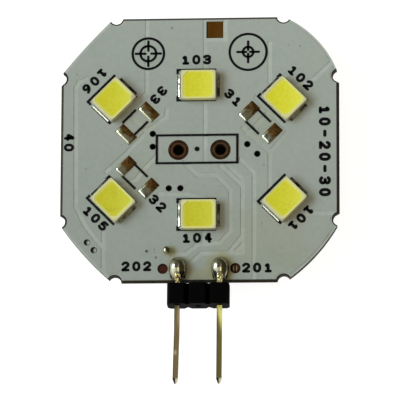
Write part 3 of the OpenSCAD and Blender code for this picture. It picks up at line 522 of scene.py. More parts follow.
class Finish(Tree):
    """A material, with the ways that its look is made from places and grain."""

    def __init__(self, name):
        self.material = bpy.data.materials.new(name)
        super().__init__(self.material, "OutputMaterial")
        self.plane = None
        self.shader = self.add("BsdfPrincipled")
        self.join(self.shader.outputs[0], self.out.inputs["Surface"])

    def surface(self, **values):
        """Sets the shader's sockets, by their names with underscores for blanks."""
        for key, value in values.items():
            self.feed(self.shader.inputs[key.replace("_", " ")], value)

    def place(self, offset=(0, 0, 0), turn=0.0, stretch=(1, 1, 1)):
        """Object coordinates, moved so that offset is the origin, turned back and stretched."""
        moved = self.vector("SUBTRACT", self.add("TexCoord").outputs["Object"], offset)
        turned = self.add("VectorRotate", {"Vector": moved, "Angle": -turn}, rotation_type="Z_AXIS")
        return self.vector("MULTIPLY", turned.outputs[0], stretch)

    @property
    def flat(self):
        """Object coordinates with the height taken out, made once."""
        if self.plane is None:
            self.plane = self.vector("MULTIPLY", self.add("TexCoord").outputs["Object"], (1, 1, 0))
        return self.plane

    def axes(self, spot=None):
        """X, Y and Z of a vector, or of the object coordinates where none is given."""
        if spot is None:
            spot = self.add("TexCoord").outputs["Object"]
        return self.add("SeparateXYZ", {0: spot}).outputs

    def patch(self, x, y, half_x, half_y, soft, flat=None):
        """1 inside an ellipse of the board's plane (mm), falling to 0 over a share of its size."""
        moved = self.vector("SUBTRACT", self.flat if flat is None else flat, (x * MM, y * MM, 0))
        sized = self.vector("MULTIPLY", moved, (1 / (half_x * MM), 1 / (half_y * MM), 0))
        return self.spread(self.vector("LENGTH", sized), 1 + soft, 1 - soft)

    def circle(self, x, y, radius, soft, flat=None):
        """As patch, with one radius."""
        return self.patch(x, y, radius, radius, soft, flat)

    def noise(self, spot, scale, detail=3.0, roughness=0.5):
        inputs = {"Vector": spot, "Scale": scale, "Detail": detail, "Roughness": roughness}
        return self.add("TexNoise", inputs).outputs["Fac"]

    def bump(self, height, depth, strength):
        """Roughens the surface, by a depth in mm."""
        node = self.add("Bump", {"Strength": strength, "Distance": depth * MM, "Height": height})
        self.surface(Normal=node.outputs["Normal"])


def scaled(colour, share):
    """A colour made darker or brighter by a share."""
    return tuple(c * share for c in colour)


def dress(material, *names, smooth_angle=35.0, edge=0.0, segments=2):
    """Gives CAD nodes a finish, smooth shading below an angle and, where given, a bevel of so many mm."""
    for name in names:
        node = NODES[name]
        node.data.materials.clear()
        node.data.materials.append(material)
        node.data.shade_smooth()
        node.data.set_sharp_from_angle(angle=math.radians(smooth_angle))
        if edge:
            bevel = node.modifiers.new("Edges", "BEVEL")
            bevel.width = edge * MM
            bevel.segments = segments
            bevel.limit_method = "ANGLE"
            bevel.angle_limit = math.radians(40)


def add_piece(name, bm, material, smooth=True):
    """Turns a bmesh into a piece that rides on the part."""
    mesh = bpy.data.meshes.new(name)
    bm.normal_update()
    bm.to_mesh(mesh)
    bm.free()
    if smooth:
        mesh.shade_smooth()
    mesh.materials.append(material)
    piece = bpy.data.objects.new(name, mesh)
    bpy.context.scene.collection.objects.link(piece)
    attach(piece, "root")
    return piece


# Finishes


def lacquer_finish(look):
    """Grey lacquer with clouds, flux, specks and darker rims, paler where it sinks into the foil's gaps."""
    g = Finish("Lacquer")
    spot = g.place()
    depth = g.away(g.axes()["Z"], BOARD_MIDDLE_Z * MM)
    # The gaps hardly show round the right resistor place
    shown = g.math("SUBTRACT", 1.0, g.times(g.patch(*FAINT_GAPS, 0.5), 0.65))
    base = g.lay(look.lacquer, look.lacquer_gap, g.ramp(depth, *SUNK_LACQUER), shown)
    # Painted light on the steps down into the gaps, which lifts their shaded walls
    step = g.times(g.ramp(depth, *STEP_TOP), g.ramp(depth, *STEP_FOOT))
    base = g.lay(base, look.lacquer_wall_painted_light, step, shown, 0.7)
    cloud = g.noise(spot, 150.0, 3.0)
    base = g.mix(g.spread(cloud, 0.35, 0.68, 0.0, 0.5), base, (0.316, 0.330, 0.298))
    drift = g.noise(g.place((20 * MM, 5 * MM, 0)), 420.0, 4.0, 0.6)
    base = g.mix(g.spread(drift, 0.45, 0.75, 0.0, 0.4), base, (0.262, 0.322, 0.280))
    mottle = g.noise(spot, 2100.0, 2.0)
    base = g.mix(g.spread(mottle, 0.35, 0.75, 0.0, 0.22), base, (0.245, 0.270, 0.235))
    # Painted shade: the light falls off a little towards the lower left
    painted_falloff = g.vector("DOT_PRODUCT", g.flat, (3.0, 6.0, 0))
    base = g.add("VectorMath", {0: base, "Scale": g.math("ADD", painted_falloff, 1.0)}, operation="SCALE").outputs[0]
    for x, y, half_x, half_y, strength in FLUX_STAINS:
        worn = g.math("ADD", g.times(drift, 0.8), g.patch(x, y, half_x, half_y, 0.6))
        base = g.mix(g.spread(worn, 0.45, 1.45, 0.0, strength), base, look.flux)
    for x, y, half_x, half_y, strength in ROOT_STAINS:
        base = g.lay(base, (0.050, 0.034, 0.014), g.patch(x, y, half_x, half_y, 0.45), strength)
    # Darker along the scored side and top edges and round the notches
    folded = g.vector("ABSOLUTE", g.vector("SUBTRACT", g.flat, (0, BOARD_UP * MM, 0)))
    side = BOARD_HALF[0] - DARK_EDGE_REACH
    top = BOARD_UP + BOARD_HALF[1] - DARK_EDGE_REACH
    edge_darkening = g.ramp(g.axes(folded)["X"], side - 0.03, side + 0.01)
    edge_darkening = g.most(edge_darkening, g.ramp(g.axes(g.flat)["Y"], top - 0.03, top + 0.01))
    for x, y in NOTCHES:
        edge_darkening = g.most(edge_darkening, g.circle(x, y, NOTCH_REACH, 0.04, folded))
    base = g.lay(base, (0.022, 0.018, 0.010), edge_darkening, 0.9)
    for x, y, radius, strength in SPECKS:
        base = g.lay(base, (0.02, 0.022, 0.018), g.circle(x, y, radius, 0.5), strength)
    g.surface(Base_Color=base, Roughness=g.spread(cloud, 0.3, 0.7, 0.36, 0.46), IOR=1.5)
    g.bump(g.noise(spot, 5200.0, 2.0), 0.004, 0.6)
    return g.material


def laminate_finish(look):
    """Raw edge with its plies, and dark copper in the two large holes."""
    g = Finish("Laminate")
    plies = g.noise(g.place(stretch=(0.25, 0.25, 1)), 9000.0, 3.0, 0.65)
    base = g.mix(g.spread(plies, 0.35, 0.7), look.laminate, (0.034, 0.025, 0.010))
    for side in (-1, 1):
        base = g.mix(g.circle(side * HOLE_X, 0, 0.56, 0.05), base, (0.030, 0.014, 0.007))
    g.surface(Base_Color=base, Roughness=0.7, Specular_IOR_Level=0.12)
    g.bump(plies, 0.02, 0.8)
    return g.material


def barrel_shade_finish():
    """Painted shade: the small holes' walls are near black, as they look deep in their shade."""
    g = Finish("Via barrels")
    stain = g.noise(g.place(), 2500.0, 3.0)
    g.surface(Base_Color=g.mix(stain, (0.004, 0.003, 0.002), (0.014, 0.010, 0.007)), Roughness=0.5)
    g.bump(stain, 0.01, 0.5)
    return g.material


def resin_finish():
    """Pale resin, with a painted shadow down the left side of each hole."""
    g = Finish("Hole resin")
    cloud = g.noise(g.place(), 2600.0, 3.0)
    base = g.mix(cloud, (0.21, 0.235, 0.20), (0.32, 0.35, 0.31))
    # Painted shadow of each hole's left rim: dark outside a patch set to the right
    unshadowed = 0.0
    for x, y in FILLED_HOLES:
        unshadowed = g.most(unshadowed, g.patch(x + 0.13, y - 0.03, 0.21, 0.25, 0.22))
    g.surface(Base_Color=g.mix(unshadowed, (0.010, 0.009, 0.006), base), Roughness=0.5)
    g.bump(cloud, 0.01, 0.5)
    return g.material


def foil_finish(look):
    """Tarnished copper, which differs from place to place."""
    g = Finish("Foil")
    spot = g.place()
    stain = g.noise(spot, 1300.0, 4.0, 0.6)
    base = g.mix(g.spread(stain, 0.3, 0.7), scaled(look.foil, 0.35), look.foil)
    # The left hole's ring is redder
    base = g.lay(base, (0.078, 0.018, 0.006), g.circle(-HOLE_X, 0, 1.05, 0.05), 0.45)
    # A painted highlight: a paler lip round each of the two large holes
    for x in (-HOLE_X, HOLE_X):
        lip = g.math("SUBTRACT", g.circle(x, 0, 0.68, 0.04), g.circle(x, 0, 0.6, 0.04))
        base = g.lay(base, (0.26, 0.14, 0.055), lip, 0.55, clamp=True)
    # Painted shade on the foil round the solder on the pins, next to the header
    for x in (-PIN_X, PIN_X):
        base = g.mix(g.circle(x, ROOT_SHADE_Y, 1.0, 0.3), base, (0.016, 0.014, 0.007))
    # The test pads are redder, with painted shade along their left and upper rims, and the right one has two
    # bright scratches
    for x in (-TEST_PAD[0], TEST_PAD[0]):
        pad = g.circle(x, TEST_PAD[1], 0.6, 0.05)
        base = g.lay(base, (0.085, 0.022, 0.012), pad, 0.85)
        shade = g.math("SUBTRACT", pad, g.circle(x + 0.12, TEST_PAD[1] - 0.1, 0.46, 0.25))
        base = g.lay(base, (0.002, 0.0015, 0.001), shade, 0.8, clamp=True)
    for x in SCRATCHES_X:
        base = g.lay(base, (0.62, 0.54, 0.30), g.patch(x, TEST_PAD[1], 0.055, 0.24, 0.5), 0.85)
    # The bare square by the top edge is bronze, and redder in its middle
    where = g.axes(g.place((BARE_SQUARE[0] * MM, BARE_SQUARE[1] * MM, 0)))
    bronze = g.lay(look.bronze, (0.19, 0.055, 0.0015), g.circle(*BARE_SQUARE, 0.55, 0.7), 0.5)
    bronze = g.mix(g.spread(stain, 0.35, 0.7, 0.0, 0.3), bronze, scaled(look.bronze, 0.8))
    base = g.mix(g.ramp(g.most(g.away(where["X"]), g.away(where["Y"])), 1.0, 0.95), base, bronze)
    g.surface(Base_Color=base, Metallic=0.7, Roughness=g.spread(stain, 0.3, 0.7, 0.34, 0.5))
    g.bump(g.noise(spot, 6000.0, 2.0), 0.004, 0.5)
    return g.material


def ink_finish(look):
    """Matt black ink with a fine grain."""
    g = Finish("Ink")
    grain = g.noise(g.place(), 9000.0, 2.0)
    base = g.mix(g.spread(grain, 0.4, 0.75, 0.0, 0.5), look.ink, (0.005, 0.005, 0.005))
    g.surface(Base_Color=base, Roughness=0.7, Specular_IOR_Level=0.12)
    g.bump(grain, 0.004, 0.6)
    return g.material


def solder_finish(name, colour, roughness, seed):
    """Frosted solder or tin; the seed moves its pattern."""
    g = Finish(name)
    spot = g.place((seed * MM, 0, 0))
    frost = g.noise(spot, 1500.0, 4.0, 0.6)
    base = g.mix(g.spread(frost, 0.35, 0.7), colour, scaled(colour, 0.78))
    rough = g.spread(frost, 0.3, 0.75, roughness, roughness + 0.12)
    g.surface(Base_Color=base, Metallic=1.0, Roughness=rough)
    g.bump(g.noise(spot, 2600.0, 3.0), 0.012, 0.5)
    return g.material


def blob_finish(look):
    """Bright solder, with a dark rim of painted reflection and flux, a painted golden highlight, and painted
    gold glints where it thins out over the pin's root.
    """
    g = Finish("Pin solder")
    frost = g.noise(g.place((4 * MM, 0, 0)), 1500.0, 4.0, 0.6)
    base = g.mix(g.spread(frost, 0.35, 0.7), look.blob, scaled(look.blob, 0.8))
    where = g.axes()
    left = g.ramp(where["X"], 0.1, -0.1)
    aside = g.away(g.away(where["X"]), PIN_X * MM)
    root = g.times(g.ramp(where["Y"], *BLOB_ROOT), g.ramp(aside, 0.3, 0.2))
    highlight_x, *gold = BLOB_HIGHLIGHT
    for x in (-PIN_X, PIN_X):
        body = g.patch(x, BLOB_Y, 0.74, 0.98, 0.16)
        # A dark olive rim round each blob: painted reflection of the dark surroundings, with flux at its
        # edge
        rim = g.math("SUBTRACT", g.circle(x, BLOB_Y, 1.6, 0.02), body, clamp=True)
        base = g.lay(base, (0.085, 0.073, 0.027), rim, 0.85)
        # Painted golden highlight above the pin's ridge
        base = g.lay(base, (0.98, 0.84, 0.44), g.patch(x + highlight_x, *gold, 0.6), 0.9)
    base = root_glints(g, base, root, left)
    g.surface(Base_Color=base, Metallic=g.spread(root, 0.0, 1.0, 0.96, 0.35))
    g.surface(Roughness=g.spread(frost, 0.3, 0.75, 0.12, 0.2))
    g.bump(g.noise(g.place(), 2600.0, 3.0), 0.01, 0.4)
    return g.material


def joint_finish(look):
    """Solder at the LEDs' ends: bright, broken by dark flux, with painted shade on the side that faces right
    and down.
    """
    g = Finish("LED solder")
    patches = g.noise(g.place((7 * MM, 0, 0)), 1100.0, 4.0, 0.7)
    whole = 0.0
    for x, y, reach, share in WHOLE_JOINTS:
        whole = g.most(whole, g.times(g.circle(x, y, reach, 0.2), share))
    fluxed = g.spread(patches, 0.44, 0.56, 0.0, 0.9)
    base = g.lay(look.solder, (0.055, 0.045, 0.022), fluxed, g.spread(whole, 0.0, 1.0, 1.0, 0.25))
    # Painted shade: solder that faces right and down, away from the light, gets a dark olive tone and less
    # metal
    facing = g.vector("DOT_PRODUCT", g.add("NewGeometry").outputs["Normal"], (0.8, -0.6, 0))
    shaded_side = g.spread(facing, 0.1, 0.45)
    film = g.mix(g.spread(patches, 0.42, 0.55, 0.0, 0.9), (0.35, 0.34, 0.215), (0.028, 0.024, 0.012))
    g.surface(Base_Color=g.mix(shaded_side, base, film), Metallic=g.spread(shaded_side, 0.0, 1.0, 1.0, 0.3))
    g.surface(Roughness=g.spread(patches, 0.3, 0.7, 0.16, 0.3))
    g.bump(patches, 0.02, 0.6)
    return g.material


def pad_solder_finish(look):
    """Solder that thins out to a coppery film where the piece's own "thin" value says so; the coppery tone
    is also a painted reflection of the dim brown side.
    """
    g = Finish("Pad solder")
    frost = g.noise(g.place((9 * MM, 0, 0)), 1900.0, 4.0, 0.6)
    thin = g.add("Attribute", attribute_name="thin").outputs["Fac"]
    thin = g.math("ADD", thin, g.spread(frost, 0.3, 0.7, -0.16, 0.16))
    base = g.mix(g.spread(thin, -0.1, 0.35), look.solder, (0.45, 0.43, 0.28))
    base = g.mix(g.spread(thin, 0.29, 0.55), base, look.thin_tin)
    streaks = g.noise(g.place((3 * MM, 0, 0)), 2600.0, 4.0, 0.65)
    burnt = g.times(g.spread(thin, 0.40, 0.65), g.spread(streaks, 0.42, 0.62, 0.0, 0.75))
    burnt = g.most(burnt, g.spread(thin, 0.78, 1.02, 0.0, 0.8))
    base = g.mix(burnt, base, (0.060, 0.026, 0.007))
    g.surface(Base_Color=base, Metallic=g.spread(thin, 0.0, 0.6, 1.0, 0.7), Roughness=0.27)
    g.bump(frost, 0.015, 0.6)
    return g.material


def window_edge(g, x, y, turn):
    """Distance to the outline of an LED's window, less than 0 inside it."""
    where = g.axes(g.place((x * MM, y * MM, 0), math.radians(turn)))
    corner = WINDOW_CORNER * MM
    over_x = g.math("SUBTRACT", g.away(where["X"]), LED_WINDOW[0] / 2 * MM - corner)
    over_y = g.math("SUBTRACT", g.away(where["Y"]), LED_WINDOW[1] / 2 * MM - corner)
    out_x = g.most(over_x, 0.0)
    out_y = g.most(over_y, 0.0)
    outside = g.math("SQRT", g.math("ADD", g.times(out_x, out_x), g.times(out_y, out_y)))
    inside = g.math("MINIMUM", g.most(over_x, over_y), 0.0)
    return g.math("SUBTRACT", g.math("ADD", outside, inside), corner)


def housing_finish(look, index, x, y, turn):
    """White plastic, greenish round the window, with painted shade at one corner."""
    g = Finish(f"Housing {index}")
    spot = g.place()
    cloud = g.spread(g.noise(spot, 1700.0, 2.0), 0.35, 0.7, 0.0, 0.5)
    base = g.mix(cloud, look.housing, scaled(look.housing, 0.93))
    base = g.mix(g.ramp(window_edge(g, x, y, turn), 0.23, 0.10, 0.0, 0.9), base, (0.63, 0.63, 0.26))
    base = g.lay(base, (0.30, 0.22, 0.14), g.circle(*SHADED_CORNER, 0.5, 0.5), 0.65)
    g.surface(Base_Color=base, Roughness=0.42, IOR=1.5)
    g.bump(g.noise(spot, 9000.0, 2.0), 0.003, 0.5)
    return g.material


def phosphor_finish(look, index, x, y, turn):
    """Grainy yellow, with painted light to the right and painted shade to the left, and whitish at the
    window's rim.
    """
    g = Finish(f"Phosphor {index}")
    tone = PHOSPHOR_TONES[index - 1]
    powder = g.noise(g.place((x * MM, y * MM, 0), math.radians(turn)), 2700.0, 4.0, 0.7)
    grain = g.spread(powder, 0.36, 0.64, 0.0, 0.8)
    base = g.mix(grain, scaled(look.phosphor, tone), scaled((0.63, 0.63, 0.035), tone))
    # Painted light and shade across the window: paler to the right, deeper to the left
    across = g.axes(g.place((x * MM, y * MM, 0)))["X"]
    base = g.mix(g.ramp(across, -0.3, 1.5, 0.0, 0.6), base, scaled((0.69, 0.70, 0.07), tone))
    base = g.mix(g.ramp(across, -0.3, -1.4, 0.0, 0.5), base, scaled((0.54, 0.51, 0.008), tone))
    for mark_x, mark_y, half_x, half_y, strength in PHOSPHOR_MARKS:
        base = g.lay(base, (0.27, 0.25, 0.012), g.patch(mark_x, mark_y, half_x, half_y, 0.5), strength)
    base = g.mix(g.ramp(window_edge(g, x, y, turn), -0.2, 0.02, 0.0, 0.9), base, look.phosphor_rim)
    g.surface(Base_Color=base, Roughness=0.42, IOR=1.42)
    g.bump(powder, 0.012, 0.35)
    return g.material


def nylon_finish():
    """Matt black nylon."""
    g = Finish("Nylon")
    grain = g.noise(g.place(), 5200.0, 3.0)
    base = g.mix(grain, (0.0008, 0.0009, 0.0007), (0.0024, 0.0024, 0.0022))
    g.surface(Base_Color=base, Roughness=0.6, IOR=1.5, Specular_IOR_Level=0.015)
    g.bump(grain, 0.008, 0.5)
    return g.material


def gilt_finish(look):
    """Thin gold over nickel: olive and brown, with painted shade at the edges, painted highlights, painted
    light and shade on the cut tips and painted glints at the roots.
    """
    g = Finish("Gilding")
    drawn = g.noise(g.place(stretch=(1, 0.05, 1)), 5200.0, 3.0)
    stain = g.noise(g.place(stretch=(1, 0.3, 1)), 800.0, 3.0)
    where = g.axes()
    x, y = where["X"], where["Y"]
    left = g.ramp(x, 0.1, -0.1)
    right = g.math("SUBTRACT", 1.0, left)
    # How far a point lies to the right of its pin's middle line; the left pin leans outwards
    left_line = g.ramp(y, LEFT_TIP[1], LEFT_BEND_Y, LEFT_TIP[0] * MM, -PIN_X * MM, smooth=False)
    line = g.math("ADD", g.times(left, left_line), g.times(right, PIN_X * MM))
    aside = g.math("SUBTRACT", x, line)
    base = g.mix(left, look.gilt, look.gilt_left)
    base = g.mix(g.spread(stain, 0.35, 0.7, 0.0, 0.45), base, (0.12, 0.088, 0.028))
    # Painted shade: both pins are darker at their left side, and the right one at its right side too
    base = g.mix(g.ramp(aside, -0.12, -0.22, 0.0, 0.6), base, (0.035, 0.025, 0.010))
    base = g.lay(base, (0.05, 0.04, 0.012), right, g.ramp(aside, 0.15, 0.24, 0.0, 0.45))
    # Right pin: a painted highlight below the header, narrowing to its right edge
    limit = g.ramp(y, *SHINE_NARROWS, -0.22 * MM, 0.24 * MM, smooth=False)
    painted_shine = g.ramp(g.math("SUBTRACT", aside, limit), -0.24, 0.2)
    painted_shine = g.times(painted_shine, g.ramp(y, *SHINE_GROWS), right, g.spread(stain, 0.25, 0.5, 0.6, 1.0))
    base = g.mix(painted_shine, base, look.shine)
    # Left pin: a painted highlight along it and one painted highlight spot
    pale = 0.0
    for *mark, strength in LEFT_PIN_HIGHLIGHTS:
        pale = g.most(pale, g.times(g.patch(*mark), strength))
    base = g.mix(pale, base, (0.66, 0.52, 0.34))
    # Cut tips: painted shade on the left and a painted highlight on the right
    tip_light_and_shade = g.mix(g.ramp(aside, -0.04, 0.04), (0.010, 0.008, 0.004), (0.80, 0.74, 0.52))
    base = g.mix(g.ramp(y, *CUT_TIPS), base, tip_light_and_shade)
    base = root_glints(g, base, g.ramp(y, *PIN_ROOT), left)
    g.surface(Base_Color=base, Metallic=g.spread(painted_shine, 0.0, 1.0, 0.4, 0.2))
    g.surface(Roughness=g.spread(drawn, 0.3, 0.7, 0.2, 0.36))
    g.bump(drawn, 0.006, 0.5)
    return g.material


def root_glints(g, base, share, left):
    """Painted glints: specks of bright gold on brown, where solder has crept over a pin; paler on the right
    pin.
    """
    specks = g.noise(g.place(stretch=(1, 0.8, 1)), 5200.0, 1.0)
    bright = g.mix(left, (0.95, 0.93, 0.50), (0.95, 0.77, 0.32))
    dark = g.mix(left, (0.30, 0.25, 0.06), (0.06, 0.030, 0.008))
    return g.mix(share, base, g.mix(g.spread(specks, 0.48, 0.55), dark, bright))


def epoxy_finish(band=None, dot=None):
    """Black moulding compound, with a pale band (corners in m) or a round dimple (middle in mm)."""
    g = Finish("Epoxy")
    grain = g.noise(g.place(), 4200.0, 3.0)
    base = g.mix(grain, (0.010, 0.010, 0.011), (0.026, 0.026, 0.027))
    if band:
        low, high = band
        where = g.axes()
        outside = -1.0
        for axis, key in enumerate("XY"):
            middle, half = (low[axis] + high[axis]) / 2, (high[axis] - low[axis]) / 2
            outside = g.most(outside, g.math("SUBTRACT", g.away(where[key], middle), half))
        inked = g.ramp(outside, 0.03, -0.03, 0.0, 0.85)
        base = g.lay(base, (0.50, 0.50, 0.47), inked, g.spread(grain, 0.25, 0.45, 0.7, 1.0))
    if dot:
        base = g.mix(g.circle(*dot, 0.2, 0.08), base, (0.075, 0.075, 0.078))
    g.surface(Base_Color=base, Roughness=0.55, IOR=1.5)
    g.bump(grain, 0.012, 0.6)
    return g.material


def ceramic_finish(name, dark, light, roughness):
    """Fine-grained body, between two tones."""
    g = Finish(name)
    grain = g.noise(g.place(), 3000.0, 3.0)
    g.surface(Base_Color=g.mix(g.spread(grain, 0.3, 0.7), dark, light), Roughness=roughness)
    g.bump(grain, 0.01, 0.5)
    return g.material


def wire_finish():
    """Enamelled copper wire, 0.12 mm from turn to turn, with painted shade between the turns and painted
    light on their crests.
    """
    g = Finish("Winding")
    turns = g.math("SINE", g.times(g.axes()["Z"], 2 * math.pi / (0.12 * MM)))
    base = g.mix(g.spread(turns, -1, 1), (0.22, 0.07, 0.02), (0.62, 0.27, 0.11))
    g.surface(Base_Color=base, Metallic=0.8, Roughness=0.35)
    g.bump(turns, 0.03, 0.8)
    return g.material


# Print


def rounded(points, closed):
    """Cuts the corners of a stroke twice, so that it bends as a plotted line does."""
    for _ in range(2):
        cut = [] if closed else [points[0]]
        last = len(points) if closed else len(points) - 1
        for i in range(last):
            a, b = points[i], points[(i + 1) % len(points)]
            cut += [a.lerp(b, 0.22), a.lerp(b, 0.78)]
        if not closed:
            cut.append(points[-1])
        points = cut
    return points


def add_stroke(bm, points, closed, half, z_low, z_high):
    """A flat line of ink along points in the board's plane: a loop, or a line with round ends."""
    count = len(points)
    left, right = [], []
    for i, p in enumerate(points):
        before = points[i - 1] if closed or i > 0 else p
        after = points[(i + 1) % count] if closed or i < count - 1 else p
        along = (after - before).normalized()
        across = Vector((-along.y, along.x))
        left.append(p + across * half)
        right.append(p - across * half)
    if not closed:
        outline = []
        cap_steps = 6
        for side, end, inner in ((left, points[-1], points[-2]), (right[::-1], points[0], points[1])):
            outline += side
            out = (end - inner).normalized()
            heading = math.atan2(out.y, out.x)
            for k in range(1, cap_steps):
                angle = heading + math.radians(90 - 180 * k / cap_steps)
                outline.append(end + Vector((math.cos(angle), math.sin(angle))) * half)
        extrude_outline(bm, outline, z_low, z_high)
        return
    tops = [[bm.verts.new((p.x, p.y, z_high)) for p in side] for side in (left, right)]
    lows = [[bm.verts.new((p.x, p.y, z_low)) for p in side] for side in (left, right)]
    for i in range(count):
        j = (i + 1) % count
        bm.faces.new((tops[0][i], tops[1][i], tops[1][j], tops[0][j]))
        bm.faces.new((lows[0][i], tops[0][i], tops[0][j], lows[0][j]))
        bm.faces.new((lows[1][j], tops[1][j], tops[1][i], lows[1][i]))


def extrude_outline(bm, outline, z_low, z_high):
    """Top and sides of a flat form; its underside lies on the board."""
    top = [bm.verts.new((p.x, p.y, z_high)) for p in outline]
    low = [bm.verts.new((p.x, p.y, z_low)) for p in outline]
    face = bm.faces.new(top)
    face.normal_update()
    if face.normal.z < 0:
        face.normal_flip()
    for i in range(len(outline)):
        j = (i + 1) % len(outline)
        bm.faces.new((low[i], low[j], top[j], top[i]))


def print_number(bm, line, figure_size, pitch, stroke, ink_depth):
    """One line of figures, centred on its place in mm."""
    text, x, y, turn = line
    wide, tall = figure_size[0] - stroke, figure_size[1] - stroke
    spin = Matrix.Rotation(math.radians(turn), 2)
    for k, figure in enumerate(text):
        middle = (k - (len(text) - 1) / 2) * pitch
        for raw in FIGURES[figure]:
            closed = len(raw) > 2 and raw[0] == raw[-1]
            raw = raw[:-1] if closed else raw
            points = [Vector((middle + (px - 0.5) * wide, (py / 1.4 - 0.5) * tall)) for px, py in raw]
            points = [spin @ p + Vector((x * MM, y * MM)) for p in rounded(points, closed)]
            add_stroke(bm, points, closed, stroke / 2, MASK_TOP, MASK_TOP + ink_depth)


def ring_points(x, y, radius, steps=72):
    """Points round a middle in mm, at a radius in metres."""
    angles = [2 * math.pi * k / steps for k in range(steps)]
    return [Vector((x * MM + radius * math.cos(a), y * MM + radius * math.sin(a))) for a in angles]


# Solder shapes


def loft(bm, rings, cap_ends=True):
    """Joins rings of points into a skin."""
    rows = [[bm.verts.new(p) for p in ring] for ring in rings]
    count = len(rows[0])
    for a, b in zip(rows, rows[1:]):
        for i in range(count):
            j = (i + 1) % count
            bm.faces.new((a[i], a[j], b[j], b[i]))
    if cap_ends:
        bm.faces.new(list(reversed(rows[0])))
        bm.faces.new(rows[-1])
    bmesh.ops.recalc_face_normals(bm, faces=bm.faces)


def rounded_box(length, width, radius):
    """Outline of a box with six edges to each rounded corner."""
    points = []
    steps = 6
    for cx, cy, start in ((1, 1, 0), (-1, 1, 90), (-1, -1, 180), (1, -1, 270)):
        for k in range(steps + 1):
            a = math.radians(start + 90 * k / steps)
            x = cx * (length / 2 - radius) + radius * math.cos(a)
            y = cy * (width / 2 - radius) + radius * math.sin(a)
            points.append(Vector((x, y)))
    return points


def pad_dome(bm, thin, middle, turn, height, seed):
    """Film of solder on a bare pad with rounded edges, thinner towards the board's top right, where its
    coppery tone also paints the dim side's reflection.
    """
    spin = Matrix.Rotation(math.radians(turn), 3, "Z")
    length, width = PAD_SIZE[0] * MM, PAD_SIZE[1] * MM
    first = len(bm.verts)
    rings = []
    rounding = 0.3 * MM
    for inset in PAD_INSETS:
        share = min(1.0, inset * MM / rounding)
        lift = height * (0.9 * (1 - (1 - share) ** 2) ** 0.5 + 0.1 * inset / PAD_INSETS[-1])
        ring = []
        corner = max(0.16 * MM - inset * MM * 0.25, 0.01 * MM)
        for p in rounded_box(length - 2 * inset * MM, width - 2 * inset * MM, corner):
            spot = spin @ Vector((p.x, p.y, 0)) + middle
            ripple = noise.noise(Vector((spot.x, spot.y, seed * MM)) / (0.45 * MM))
            ring.append(spot + Vector((0, 0, lift * (1 + 0.3 * ripple))))
        rings.append(ring)
    loft(bm, rings, cap_ends=False)
    bm.faces.new(list(bm.verts)[-len(rings[0]):])
    slope = Vector((1, 1, 0)).normalized()
    for v in list(bm.verts)[first:]:
        v[thin] = 0.5 + (v.co - middle).dot(slope) / (0.9 * width)


def ease(value, low, high):
    """0 below low, 1 above high, and a smooth step between."""
    share = min(1.0, max(0.0, (value - low) / (high - low)))
    return share * share * (3 - 2 * share)


def pin_blob(bm, x, low, high, tail, seed):
    """Drop of solder in the CAD blob's box, drawn out to a thin skin over the pin's root."""
    foot, top = low.z, high.z
    start, end = high.y + 0.1 * MM, low.y
    half_wide = (high.x - low.x) / 2 * 1.03
    narrowing, fall = 0.22, 0.65
    skin_half, skin_over = 0.31 * MM, 0.035 * MM
    ridge_at, ridge_half = 0.19 * MM, 0.09 * MM
    slope = math.tan(math.radians(HEADER_SLOPE))
    steps, sides = 48, 44
    rings = []
    for k in range(steps + 1):
        t = 0.004 + 0.996 * k / steps
        rise = math.sqrt(max(0.0, 1 - (1 - 2 * t) ** 2))
        drawn = ease(t, 0.7, 1.0)
        wide = half_wide * (rise if t < 0.5 else 1 - narrowing * (2 * t - 1) ** 2) * (1 - 0.2 * drawn)
        tall = (top - foot) * (rise if t < 0.5 else 1 - fall * (2 * t - 1) ** 1.5)
        y = start + (end - start) * t
        pin_top = tail.z + (tail.y - y) * slope - foot
        ring = []
        for i in range(sides + 1):
            a = math.pi * i / sides
            across = math.cos(a) * wide
            lift = tall * math.sin(a) ** 0.8
            # The pin below shows as a low ridge, right of the middle
            ridge = math.exp(-((across - ridge_at) / ridge_half) ** 2)
            lift *= 1 + 0.06 * ridge * ease(t, 0.2, 0.45)
            skin = max(0.0, 1 - (abs(across) / skin_half) ** 6) ** 0.5 * (pin_top + skin_over)
            skin *= 1 + 0.05 * noise.noise(Vector((across, y, seed * MM)) / (0.16 * MM))
            if skin > lift and t > 0.5:
                lift = skin
            ring.append(Vector((x + across, y, foot + max(0.0, lift))))
        rings.append(ring)
    loft(bm, rings)


def hole_plug(bm, x, y):
    """Resin in a small hole, sunk in its middle."""
    rings = []
    for share, height in PLUG_RINGS:
        ring = ring_points(x, y, FILLED_RADIUS * share * MM, 32)
        rings.append([p.to_3d() + Vector((0, 0, height * MM)) for p in ring])
    loft(bm, rings)


# Operators


class LEDMOD_OT_dress_board(bpy.types.Operator):
    """Gives laminate, foil, lacquer and printed outlines their finishes"""

    bl_idname = "ledmod.dress_board"
    bl_label = "Dress Board"

    def execute(self, context):
        look = context.scene.ledmod_board
        dress(laminate_finish(look), "circuit_board")
        dress(foil_finish(look), "front_copper", "back_copper")
        dress(barrel_shade_finish(), "via_plating")
        dress(lacquer_finish(look), "front_solder_mask", "back_solder_mask", smooth_angle=20.0)
        dress(ink_finish(look), "front_legend")
        # The ink has spread a little over the lacquer
        spread = NODES["front_legend"].modifiers.new("Spread", "DISPLACE")
        spread.strength = look.ink_spread
        spread.mid_level = 0.0
        bm = bmesh.new()
        for x, y in FILLED_HOLES:
            hole_plug(bm, x, y)
        add_piece("hole_plugs", bm, resin_finish())
        return {"FINISHED"}


